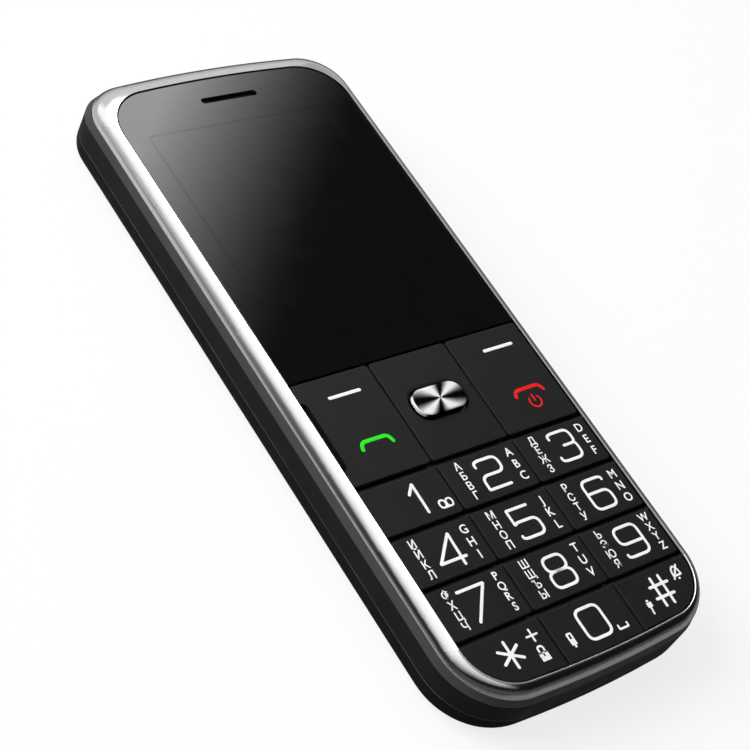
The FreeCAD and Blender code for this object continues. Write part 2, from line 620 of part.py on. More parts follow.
def ear_mesh_plate(border, low, high):
    """Plate over the earpiece slot with a border around it."""
    return block(-EAR_SLOT_LENGTH / 2 - border, EAR_SLOT_LENGTH / 2 + border,
                 EAR_SLOT_Y - EAR_SLOT_WIDTH / 2 - border, EAR_SLOT_Y + EAR_SLOT_WIDTH / 2 + border, low, high)


def earpiece_mesh():
    """Dust mesh between the deck and the lens."""
    return ear_mesh_plate(EAR_MESH_BORDER, DECK_TOP, LENS_LOW - SEAM_GAP)


def cap(x_low, x_high, y_low, y_high, low=CAP_LOW):
    """A key cap: a plate inside the ring with rounded corners and rounded upper edges."""
    shape = block(x_low, x_high, y_low, y_high, low, CAP_TOP).common(slab(-FIT_GAP, 0, THROUGH))
    corners = [e for e in upright_edges(shape) if is_square_corner(e, x_low, x_high, y_low, y_high)]
    return rounded_above(shape.makeFillet(CAP_CORNER, corners), CAP_TOP, CAP_ROUND)


def is_square_corner(edge, x_low, x_high, y_low, y_high):
    """Whether an upright edge is a right-angled corner, where a straight end meets a straight side."""
    spot = edge.Vertexes[0].Point
    side = OPENING_HALF_WIDTH - FIT_GAP
    on_x = min(abs(spot.x - x) for x in (x_low, x_high, -side, side)) < 1e-4
    on_y = min(abs(spot.y - y) for y in (y_low, y_high)) < 1e-4
    return on_x and on_y


def column_span(column):
    """X limits of a key column: 0 left, 1 middle, 2 right. The outer ones run out to the ring."""
    inner = COLUMN_EDGE + COLUMN_GAP / 2
    outer = OPENING_HALF_WIDTH + 1
    middle_half = COLUMN_EDGE - COLUMN_GAP / 2
    return [(-outer, -inner), (-middle_half, middle_half), (inner, outer)][column]


def number_key(row, column):
    """Cap of a number key. The lowest row runs out to the ring's arched end."""
    x_low, x_high = column_span(column)
    y_high = FUNCTION_LOW_END - row * KEY_PITCH - ROW_GAP / 2
    y_low = FUNCTION_LOW_END - (row + 1) * KEY_PITCH + ROW_GAP / 2
    return cap(x_low, x_high, -BODY_LENGTH if row == 3 else y_low, y_high)


def function_span():
    """Y limits of the block of function keys."""
    return FUNCTION_LOW_END + ROW_GAP / 2, LENS_EDGE - FIT_GAP


def left_function_key():
    """Soft key and call key in one rocking cap, with the recess in its outer edge."""
    shape = cap(*column_span(0), *function_span())
    recess = rounded_block(-OPENING_HALF_WIDTH + FIT_GAP, LENS_EDGE - NOTCH_MIDDLE_DROP, 2 * NOTCH_DEPTH,
                           NOTCH_LENGTH, NOTCH_DEPTH - ROUND_END, 0, THROUGH)
    return shape.cut(recess)


def right_function_key():
    """Soft key and end key in one rocking cap."""
    return cap(*column_span(2), *function_span())


def select_outline(growth, low, high):
    """The select key's rounded oblong, grown all round."""
    return rounded_block(0, SELECT_MIDDLE, SELECT_LENGTH + 2 * growth, SELECT_WIDTH + 2 * growth,
                         SELECT_CORNER + growth, low, high)


def navigation_key():
    """Four-way cap around the select key."""
    shape = cap(*column_span(1), *function_span(), low=CAP_LOW + NAV_PAD_THICKNESS + NAV_PAD_GAP)
    return shape.cut(select_outline(MOAT, 0, THROUGH))


def navigation_pad():
    """Rubber pad that carries the navigation cap and lets it tilt."""
    x_low, x_high = column_span(1)
    y_low, y_high = function_span()
    plate = block(x_low + NAV_PAD_MARGIN, x_high - NAV_PAD_MARGIN, y_low + NAV_PAD_MARGIN,
                  y_high - NAV_PAD_MARGIN, CAP_LOW, CAP_LOW + NAV_PAD_THICKNESS)
    return plate.cut(select_outline(MOAT, 0, THROUGH))


def select_key():
    """Proud metal key in the middle of the navigation key."""
    top = CAP_TOP + SELECT_PROUD
    return rounded_above(select_outline(0, CAP_LOW, top), top, SELECT_ROUND)


# ================================================================ keypad electronics
def dome_places():
    """Middles of the switch domes: one per number key, two per side cap, five for the middle."""
    places = []
    for row in range(4):
        y = FUNCTION_LOW_END - (row + 0.5) * KEY_PITCH
        places += [(x, y) for x in (-DOME_COLUMN, 0, DOME_COLUMN)]
    y_low, y_high = function_span()
    for x in (-DOME_COLUMN, DOME_COLUMN):
        places += [(x, y_low + KEY_PITCH / 2), (x, y_high - KEY_PITCH / 2)]
    side = COLUMN_EDGE - DOME_RADIUS
    swing = FUNCTION_LENGTH / 2 - 1.5 * DOME_RADIUS
    places += [(0, SELECT_MIDDLE), (-side, SELECT_MIDDLE), (side, SELECT_MIDDLE)]
    places += [(0, FUNCTION_MIDDLE - swing), (0, FUNCTION_MIDDLE + swing)]
    return places


def led_places():
    """Middles of the keypad lights, under the crossings of rows and columns."""
    rows = [FUNCTION_LOW_END - row * KEY_PITCH for row in range(4)]
    return [(side * COLUMN_EDGE, y) for y in rows for side in (-1, 1)]


def keypad_mat():
    """Rubber mat under the caps, with a plunger over each dome and a foot along each side."""
    top_end = LENS_EDGE - MAT_EDGE
    shape = inner_plate(-BAY_WALL - FIT_GAP, BOARD_HALF_WIDTH, -BODY_LENGTH, top_end, MAT_LOW, MAT_TOP)
    plunger_low = BOARD_TOP + DOME_HEIGHT + PLUNGER_GAP
    lugs = [round_rod(x, y, plunger_low, MAT_LOW + SEAM_GAP, PLUNGER_RADIUS) for x, y in dome_places()]
    foot_low_end = FUNCTION_LOW_END - 3 * KEY_PITCH
    for side in (-1, 1):
        outer = side * BOARD_HALF_WIDTH
        inner = side * (BOARD_HALF_WIDTH - MAT_FOOT_WIDTH)
        lugs.append(block(min(inner, outer), max(inner, outer), foot_low_end, top_end,
                          BOARD_TOP, MAT_LOW + SEAM_GAP))
    return shape.fuse(lugs)


def metal_domes():
    """Snap domes on the board."""
    return Part.makeCompound([
        Part.makeCone(DOME_RADIUS, DOME_TOP_RADIUS, DOME_HEIGHT, Vector(x, y, BOARD_TOP))
        for x, y in dome_places()
    ])


def dome_sheet():
    """Film around the domes."""
    film = inner_plate(-BOARD_END_MARGIN - SLIDE_GAP, BOARD_HALF_WIDTH - MAT_FOOT_WIDTH - FIT_GAP,
                       -BODY_LENGTH, LENS_EDGE - 2 * MAT_EDGE, BOARD_TOP, BOARD_TOP + FILM_THICKNESS)
    holes = [round_rod(x, y, 0, THROUGH, DOME_RADIUS + SLIDE_GAP) for x, y in dome_places()]
    holes += [led_block(x, y, SLIDE_GAP, 0, THROUGH) for x, y in led_places()]
    return cut_all(film, holes)


def led_block(x, y, growth, low, high):
    """A keypad light's place, grown all round."""
    half_length = LED_LENGTH / 2 + growth
    half_width = LED_WIDTH / 2 + growth
    return block(x - half_length, x + half_length, y - half_width, y + half_width, low, high)


def keypad_leds():
    """Lights on the board between the domes."""
    return Part.makeCompound([
        led_block(x, y, 0, BOARD_TOP, BOARD_TOP + LED_HEIGHT) for x, y in led_places()
    ])


# ================================================================ display
def lcd_block(growth, low, high):
    """The display module's place, grown at its sides and ends."""
    half = LCD_HALF_WIDTH + growth
    return block(-half, half, LCD_LOW_END - growth, LCD_TOP_END + growth, low, high)


def lcd_panel():
    """Display module with its backlight."""
    return lcd_block(0, LCD_LOW, LCD_TOP)


def lcd_frame():
    """Folded sheet tray that holds the display on the board, open where the flex leaves it."""
    tray = lcd_block(SLIDE_GAP + SHEET_METAL, BOARD_TOP, LCD_TOP)
    tray = tray.cut(lcd_block(SLIDE_GAP, LCD_LOW, LCD_TOP + 1))
    half = FLEX_WIDTH / 2 + 1
    return tray.cut(block(-half, half, LCD_LOW_END - 1, LCD_LOW_END + SLIDE_GAP, LCD_LOW, LCD_TOP + 1))


def lcd_gasket():
    """Foam frame between the display and the deck."""
    middle = (WINDOW_TOP + WINDOW_LOW) / 2
    half_width = WINDOW_WIDTH / 2
    half_length = WINDOW_LENGTH / 2
    outer = block(-half_width - GASKET_WIDTH, half_width + GASKET_WIDTH, middle - half_length - GASKET_WIDTH,
                  middle + half_length + GASKET_WIDTH, LCD_TOP, DECK_LOW)
    return outer.cut(block(-half_width, half_width, middle - half_length, middle + half_length, 0, THROUGH))


def lcd_flex():
    """Flexible printed strip from the display's lower end down to the board."""
    half = FLEX_WIDTH / 2
    start = LCD_LOW_END
    end = start - FLEX_REACH
    high = LCD_LOW + LCD_THICKNESS / 3
    upper = block(-half, half, end, start, high, high + FLEX_THICKNESS)
    drop = block(-half, half, end, end + FLEX_THICKNESS, BOARD_TOP, high + FLEX_THICKNESS)
    foot = block(-half, half, end - FLEX_REACH, end + FLEX_THICKNESS, BOARD_TOP, BOARD_TOP + FLEX_THICKNESS)
    return upper.fuse([drop, foot]).removeSplitter()


# ================================================================ board and what it carries
def main_board():
    """Circuit board with notches for the pieces in the upper end wall."""
    plate = inner_plate(-BOARD_END_MARGIN, BOARD_HALF_WIDTH, -BODY_LENGTH, BODY_LENGTH, BOARD_LOW, BOARD_TOP)
    jack_half = JACK_BODY_WIDTH / 2 + FIT_GAP
    usb_half = USB_WIDTH / 2 + FIT_GAP
    led_half = TORCH_LED_RADIUS + TORCH_FLANGE + FIT_GAP
    return cut_all(plate, [
        block(JACK_X - jack_half, JACK_X + jack_half, jack_face() - JACK_LENGTH - JACK_TIP_ROOM, BODY_LENGTH,
              0, THROUGH),
        block(USB_X - usb_half, USB_X + usb_half, usb_face() - USB_LENGTH - FIT_GAP, BODY_LENGTH, 0, THROUGH),
        block(-led_half, led_half, torch_back() - TORCH_LED_LENGTH - FIT_GAP, BODY_LENGTH, 0, THROUGH),
    ])


def jack_face():
    """Y of the headphone jack's mouth, just inside the end wall."""
    return Outline(HOUSING_INNER).upper.end_y(abs(JACK_X) + JACK_BODY_WIDTH / 2) - SLIDE_GAP


def usb_face():
    """Y of the charging socket's mouth, inside the housing's end face."""
    return Outline(BODY_OFFSET).upper.end_y(abs(USB_X) + USB_WIDTH / 2) - USB_RECESS


def torch_back():
    """Y of the back of the torch lens's flange."""
    wall = Outline(HOUSING_INNER).upper.end_y(TORCH_LENS_RADIUS + TORCH_FLANGE)
    return wall - SLIDE_GAP - TORCH_FLANGE_DEPTH


def headphone_jack():
    """Jack body in a notch of the board."""
    face = jack_face()
    half = JACK_BODY_WIDTH / 2
    low = PORT_HEIGHT - JACK_BODY_HEIGHT / 2
    body = block(JACK_X - half, JACK_X + half, face - JACK_LENGTH, face, low, low + JACK_BODY_HEIGHT)
    return body.cut(lying_rod(JACK_X, face + 1, PORT_HEIGHT, JACK_LENGTH + 2, JACK_BORE_RADIUS,
                              Vector(0, -1, 0)))


def usb_socket():
    """Charging socket: metal shell with a tongue."""
    face = usb_face()
    half = USB_WIDTH / 2
    low = PORT_HEIGHT - USB_HEIGHT / 2
    high = PORT_HEIGHT + USB_HEIGHT / 2
    back = face - USB_LENGTH
    shell = block(USB_X - half, USB_X + half, back, face, low, high)
    shell = shell.makeFillet(USB_HEIGHT / 5, [e for e in shell.Edges if abs(e.tangentAt(0).y) > 0.99])
    shell = shell.cut(block(USB_X - half + USB_WALL, USB_X + half - USB_WALL, back + USB_TONGUE, face + 1,
                            low + USB_WALL, high - USB_WALL))
    tongue = block(USB_X - half / 2, USB_X + half / 2, back + USB_WALL, face - USB_TONGUE,
                   PORT_HEIGHT - USB_TONGUE / 2, PORT_HEIGHT + USB_TONGUE / 2)
    return shell.fuse(tongue)


def torch_lens():
    """Clear lens through the end wall, with a flange behind it."""
    along = Vector(0, 1, 0)
    back = torch_back()
    outer = Outline(BODY_OFFSET).upper.end_y(TORCH_LENS_RADIUS) - SLIDE_GAP
    stem = lying_rod(0, back, PORT_HEIGHT, outer - back, TORCH_LENS_RADIUS, along)
    flange = lying_rod(0, back, PORT_HEIGHT, TORCH_FLANGE_DEPTH, TORCH_LENS_RADIUS + TORCH_FLANGE, along)
    return stem.fuse(flange)


def torch_led():
    """Lamp behind the torch lens."""
    return lying_rod(0, torch_back() - TORCH_LED_LENGTH, PORT_HEIGHT, TORCH_LED_LENGTH - SEAM_GAP,
                     TORCH_LED_RADIUS, Vector(0, 1, 0))


def shield_can(x_low, x_high, y_low, y_high):
    """A folded shield on the underside of the board."""
    outer = block(x_low, x_high, y_low, y_high, SHIELD_LOW, BOARD_LOW)
    return outer.cut(block(x_low + SHIELD_WALL, x_high - SHIELD_WALL, y_low + SHIELD_WALL, y_high - SHIELD_WALL,
                           SHIELD_LOW + SHIELD_WALL, BOARD_LOW + 1))


def shield_cans():
    """Two shields over the circuits above the battery floor."""
    middle = (BAY_LOW_END + BAY_TOP_END) / 2
    half = BAY_HALF_WIDTH - BAY_WALL
    gap = BAY_WALL
    return Part.makeCompound([
        shield_can(-half, half, BAY_LOW_END + BAY_WALL, middle - gap),
        shield_can(-half, half / 2, middle + gap, BAY_TOP_END - 2 * CONNECTOR_DEPTH),
    ])


def earpiece_receiver():
    """Receiver capsule under the deck, with two contact springs down to the board."""
    top = DECK_LOW - GASKET_THICKNESS
    low = top - RECEIVER_HEIGHT
    body = rounded_block(0, EAR_SLOT_Y, RECEIVER_LENGTH, RECEIVER_WIDTH, RECEIVER_WIDTH / 4, low, top)
    reach = RECEIVER_LENGTH / 2 - CONTACT_INSET
    springs = [round_rod(x, EAR_SLOT_Y, BOARD_TOP, low + SEAM_GAP, CONTACT_RADIUS) for x in (-reach, reach)]
    return body.fuse(springs)


def earpiece_gasket():
    """Foam ring that seals the receiver to the deck."""
    outer = rounded_block(0, EAR_SLOT_Y, RECEIVER_LENGTH, RECEIVER_WIDTH, RECEIVER_WIDTH / 4,
                          DECK_LOW - GASKET_THICKNESS, DECK_LOW)
    return outer.cut(ear_mesh_plate(EAR_MESH_BORDER, 0, THROUGH))


def speaker_plate(margin, low, high):
    """The loudspeaker's outline, reduced by a margin."""
    return rounded_block(0, SPEAKER_Y, SPEAKER_LENGTH - 2 * margin, SPEAKER_WIDTH - 2 * margin, 1.0, low, high)


def loudspeaker():
    """Loudspeaker with two contact springs up to the board."""
    low = POCKET_FLOOR + GASKET_THICKNESS
    body = speaker_plate(0, low, low + SPEAKER_HEIGHT)
    reach = SPEAKER_LENGTH / 2 - CONTACT_INSET
    springs = [round_rod(x, SPEAKER_Y, low + SPEAKER_HEIGHT - SEAM_GAP, BOARD_LOW, CONTACT_RADIUS)
               for x in (-reach, reach)]
    return body.fuse(springs)


def loudspeaker_gasket():
    """Foam ring between the loudspeaker and the housing's skin."""
    ring = speaker_plate(0, POCKET_FLOOR, POCKET_FLOOR + GASKET_THICKNESS)
    return ring.cut(speaker_plate(BAY_WALL, 0, THROUGH))


def loudspeaker_mesh():
    """Dust mesh over the sound slots."""
    return speaker_plate(BAY_WALL + SLIDE_GAP, POCKET_FLOOR, POCKET_FLOOR + FILM_THICKNESS)


def microphone():
    """Microphone capsule with two contact springs up to the board."""
    low = POCKET_FLOOR + GASKET_THICKNESS
    body = round_rod(MIC_X, MIC_Y, low, low + MIC_HEIGHT, MIC_RADIUS)
    springs = [round_rod(MIC_X + x, MIC_Y, low + MIC_HEIGHT - SEAM_GAP, BOARD_LOW, CONTACT_RADIUS)
               for x in (-MIC_RADIUS / 2, MIC_RADIUS / 2)]
    return body.fuse(springs)


def microphone_boot():
    """Rubber cup around the microphone, open to the sound hole and at the contacts."""
    low = POCKET_FLOOR
    high = low + GASKET_THICKNESS + MIC_HEIGHT
    cup = round_rod(MIC_X, MIC_Y, low, high, MIC_RADIUS + SEAM_GAP + MIC_BOOT_WALL)
    cup = cup.cut(round_rod(MIC_X, MIC_Y, low + GASKET_THICKNESS, high + 1, MIC_RADIUS + SEAM_GAP))
    return cup.cut(round_rod(MIC_X, MIC_Y, 0, THROUGH, MIC_HOLE_RADIUS))


def motor_height():
    """Height of the vibration motor's shaft: its can lies on the pocket's floor."""
    return POCKET_FLOOR + MOTOR_RADIUS


def vibration_motor():
    """Vibration motor's can and shaft."""
    z = motor_height()
    can = lying_rod(MOTOR_X, MOTOR_Y, z, MOTOR_LENGTH, MOTOR_RADIUS, Vector(1, 0, 0))
    return can.fuse(lying_rod(MOTOR_X, MOTOR_Y, z, MOTOR_SHAFT_LENGTH, MOTOR_SHAFT_RADIUS, Vector(-1, 0, 0)))


def vibration_weight():
    """Half-round weight on the motor's shaft."""
    z = motor_height()
    start = MOTOR_X - MOTOR_SHAFT_LENGTH + SLIDE_GAP
    along = Vector(1, 0, 0)
    hub = lying_rod(start, MOTOR_Y, z, WEIGHT_LENGTH, 2 * MOTOR_SHAFT_RADIUS, along)
    half = Part.makeCylinder(WEIGHT_RADIUS, WEIGHT_LENGTH, Vector(start, MOTOR_Y, z), along)
    half = half.common(block(-THROUGH, THROUGH, MOTOR_Y - WEIGHT_RADIUS, MOTOR_Y + WEIGHT_RADIUS, 0, z))
    bore = lying_rod(start - 1, MOTOR_Y, z, WEIGHT_LENGTH + 2, MOTOR_SHAFT_RADIUS + WEIGHT_SHAFT_GAP, along)
    return half.fuse(hub).cut(bore)


def antenna():
    """Sheet antenna on the pocket's floor, with a leg up to the board."""
    half = ANTENNA_LENGTH / 2
    sheet = block(ANTENNA_X - half, ANTENNA_X + half, ANTENNA_Y - ANTENNA_WIDTH / 2,
                  ANTENNA_Y + ANTENNA_WIDTH / 2, POCKET_FLOOR, POCKET_FLOOR + SHEET_METAL)
    leg = block(ANTENNA_X + half - 2 * SHEET_METAL, ANTENNA_X + half, ANTENNA_Y - 1, ANTENNA_Y + 1,
                POCKET_FLOOR, BOARD_LOW)
    return sheet.fuse(leg)


# ================================================================ battery and cards
def battery():
    """Removable battery."""
    middle = (BAY_LOW_END + BAY_TOP_END) / 2
    return rounded_block(0, middle, BATTERY_WIDTH, BATTERY_LENGTH, BATTERY_CORNER, BATTERY_LOW,
                         BATTERY_LOW + BATTERY_THICKNESS)


def contact_blocks(width, y_low, y_high, low, high):
    """A row of blocks, one per battery contact."""
    shapes = []
    for number in range(CONTACT_COUNT):
        x = (number - (CONTACT_COUNT - 1) / 2) * CONTACT_PITCH
        shapes.append(block(x - width / 2, x + width / 2, y_low, y_high, low, high))
    return Part.makeCompound(shapes)


def contact_low():
    """Lower edge of the battery's contacts."""
    return BATTERY_LOW + BATTERY_THICKNESS / 2


def battery_pads():
    """Contact pads on the battery's end."""
    end = (BAY_LOW_END + BAY_TOP_END) / 2 + BATTERY_LENGTH / 2
    return contact_blocks(1.5 * CONTACT_WIDTH, end, end + PAD_THICKNESS, contact_low(),
                          BATTERY_LOW + BATTERY_THICKNESS - SHIELD_WALL)


def battery_connector():
    """Connector block that hangs from the board beside the battery bay."""
    start = BAY_TOP_END + SLIDE_GAP
    half = CONNECTOR_LENGTH / 2
    return block(-half, half, start, start + CONNECTOR_DEPTH, POCKET_FLOOR + SEAM_GAP, BOARD_LOW)


def battery_contacts():
    """Contact springs between the connector and the battery."""
    return contact_blocks(CONTACT_WIDTH, BAY_TOP_END - SEAM_GAP, BAY_TOP_END + SLIDE_GAP, contact_low(),
                          BATTERY_LOW + BATTERY_THICKNESS - SHIELD_WALL)


def card_stack(thickness):
    """Heights of a card in its holder under the board: holder low, card low, card top."""
    card_top = BOARD_LOW - SHIELD_WALL - SLIDE_GAP
    return card_top - thickness - SLIDE_GAP - SHIELD_WALL, card_top - thickness, card_top


def card_holder(y, width, share, thickness):
    """Sheet cage on the board's underside, open to the right."""
    left = -CARD_BAY_HALF_WIDTH + 2 * SLIDE_GAP
    low, card_low, card_top = card_stack(thickness)
    half = width / 2 + SLIDE_GAP + SHIELD_WALL
    right = left + SHIELD_WALL + SLIDE_GAP + share
    outer = block(left, right, y - half, y + half, low, BOARD_LOW)
    return outer.cut(block(left + SHIELD_WALL, right + 1, y - half + SHIELD_WALL, y + half - SHIELD_WALL,
                           card_low - SLIDE_GAP, card_top + SLIDE_GAP))


def card(y, length, width, thickness, corner):
    """A card in its holder, with one cut corner."""
    left = -CARD_BAY_HALF_WIDTH + 2 * SLIDE_GAP + SHIELD_WALL + SLIDE_GAP
    low = card_stack(thickness)[1]
    plate = block(left, left + length, y - width / 2, y + width / 2, low, low + thickness)
    cut_edge = [e for e in upright_edges(plate)
                if e.Vertexes[0].Point.x > left + corner and e.Vertexes[0].Point.y > y]
    return plate.makeChamfer(corner, cut_edge)


def sim_y():
    """Middle of the SIM card."""
    return CARD_BAY_LOW_END + SIM_WIDTH / 2 + 2 * (SLIDE_GAP + SHIELD_WALL)


def memory_y():
    """Middle of the memory card."""
    return CARD_BAY_TOP_END - MEMORY_WIDTH / 2 - 2 * (SLIDE_GAP + SHIELD_WALL)


def sim_holder():
    """Holder of the SIM card."""
    return card_holder(sim_y(), SIM_WIDTH, HOLDER_SHARE_SIM, SIM_THICKNESS)


def sim_card():
    """SIM card."""
    return card(sim_y(), SIM_LENGTH, SIM_WIDTH, SIM_THICKNESS, SIM_CUT)


def memory_card_holder():
    """Holder of the memory card."""
    return card_holder(memory_y(), MEMORY_WIDTH, HOLDER_SHARE_MEMORY, MEMORY_THICKNESS)


def memory_card():
    """Memory card."""
    return card(memory_y(), MEMORY_LENGTH, MEMORY_WIDTH, MEMORY_THICKNESS, MEMORY_CUT)


def housing_screws():
    """Six screws from the rear housing into the front housing's bosses."""
    screws = []
    for x, y in screw_places():
        head = round_rod(x, y, HEAD_SEAT - SCREW_HEAD_HEIGHT, HEAD_SEAT, SCREW_HEAD_RADIUS)
        cross = SCREW_HEAD_RADIUS * 0.6
        slots = [
            block(x - cross, x + cross, y - SLIDE_GAP, y + SLIDE_GAP, 0, HEAD_SEAT - SCREW_HEAD_HEIGHT / 2),
            block(x - SLIDE_GAP, x + SLIDE_GAP, y - cross, y + cross, 0, HEAD_SEAT - SCREW_HEAD_HEIGHT / 2),
        ]
        shaft = round_rod(x, y, HEAD_SEAT, HEAD_SEAT + SCREW_LENGTH, SCREW_RADIUS)
        screws.append(head.fuse(shaft).cut(slots))
    return Part.makeCompound(screws)


# ================================================================ files
KEY_NAMES = (("key_1", "key_2", "key_3"), ("key_4", "key_5", "key_6"),
             ("key_7", "key_8", "key_9"), ("key_star", "key_0", "key_hash"))

PIECES = (
    chrome_ring, front_housing, rear_housing, battery_cover, display_lens, lens_adhesive, earpiece_mesh,
    left_function_key, right_function_key, navigation_key, navigation_pad, select_key, keypad_mat,
    metal_domes, dome_sheet, keypad_leds, lcd_panel, lcd_frame, lcd_gasket, lcd_flex, main_board,
    headphone_jack, usb_socket, torch_lens, torch_led, shield_cans, earpiece_receiver, earpiece_gasket,
    loudspeaker, loudspeaker_gasket, loudspeaker_mesh, microphone, microphone_boot, vibration_motor,
    vibration_weight, antenna, battery, battery_pads, battery_connector, battery_contacts, sim_holder,
    sim_card, memory_card_holder, memory_card, housing_screws,
)


def tidy(shape):
    """The bare solid where a piece is one solid, and the group where it is several."""
    return shape.Solids[0] if len(shape.Solids) == 1 else Part.makeCompound(shape.Solids)


def main():
    """Writes every piece."""
    os.makedirs("parts", exist_ok=True)
    shapes = {piece.__name__: piece() for piece in PIECES}
    for row, names in enumerate(KEY_NAMES):
        for column, name in enumerate(names):
            shapes[name] = number_key(row, column)
    for name, shape in shapes.items():
        tidy(shape).exportStep(f"parts/{name}.step")


if __name__ == "__main__":
    main()
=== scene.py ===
"""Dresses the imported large-key phone: a finish for every solid, printed legends, fine fittings and a plain studio."""

from __future__ import annotations

import json
import logging
import math
from dataclasses import dataclass
from enum import Enum
from typing import Any

import bpy
from mathutils import Matrix, Vector

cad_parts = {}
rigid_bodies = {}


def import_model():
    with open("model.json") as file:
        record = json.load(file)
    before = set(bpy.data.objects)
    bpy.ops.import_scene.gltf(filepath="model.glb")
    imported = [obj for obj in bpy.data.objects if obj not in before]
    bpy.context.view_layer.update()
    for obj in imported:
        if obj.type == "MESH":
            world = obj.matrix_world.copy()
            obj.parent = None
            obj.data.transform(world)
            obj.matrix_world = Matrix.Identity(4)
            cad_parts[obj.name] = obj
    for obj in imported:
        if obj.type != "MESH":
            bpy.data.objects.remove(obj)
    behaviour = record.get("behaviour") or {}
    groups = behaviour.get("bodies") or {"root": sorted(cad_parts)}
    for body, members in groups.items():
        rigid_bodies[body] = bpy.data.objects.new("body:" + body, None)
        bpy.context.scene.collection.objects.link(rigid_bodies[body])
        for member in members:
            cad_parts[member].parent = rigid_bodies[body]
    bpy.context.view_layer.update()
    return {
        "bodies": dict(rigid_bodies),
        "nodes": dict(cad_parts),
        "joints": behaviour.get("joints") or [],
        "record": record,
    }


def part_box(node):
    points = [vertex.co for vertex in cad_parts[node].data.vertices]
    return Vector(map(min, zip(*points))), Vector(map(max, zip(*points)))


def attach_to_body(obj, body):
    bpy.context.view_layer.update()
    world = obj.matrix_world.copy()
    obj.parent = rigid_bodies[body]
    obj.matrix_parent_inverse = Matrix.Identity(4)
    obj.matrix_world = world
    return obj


LOG = logging.getLogger("phone")
MM = 0.001

Colour = tuple[float, float, float]
Flat = tuple[float, float]
Line = tuple[tuple[float, ...], ...]
Strokes = tuple[Line, ...]
Socket = bpy.types.NodeSocket


# Node graphs


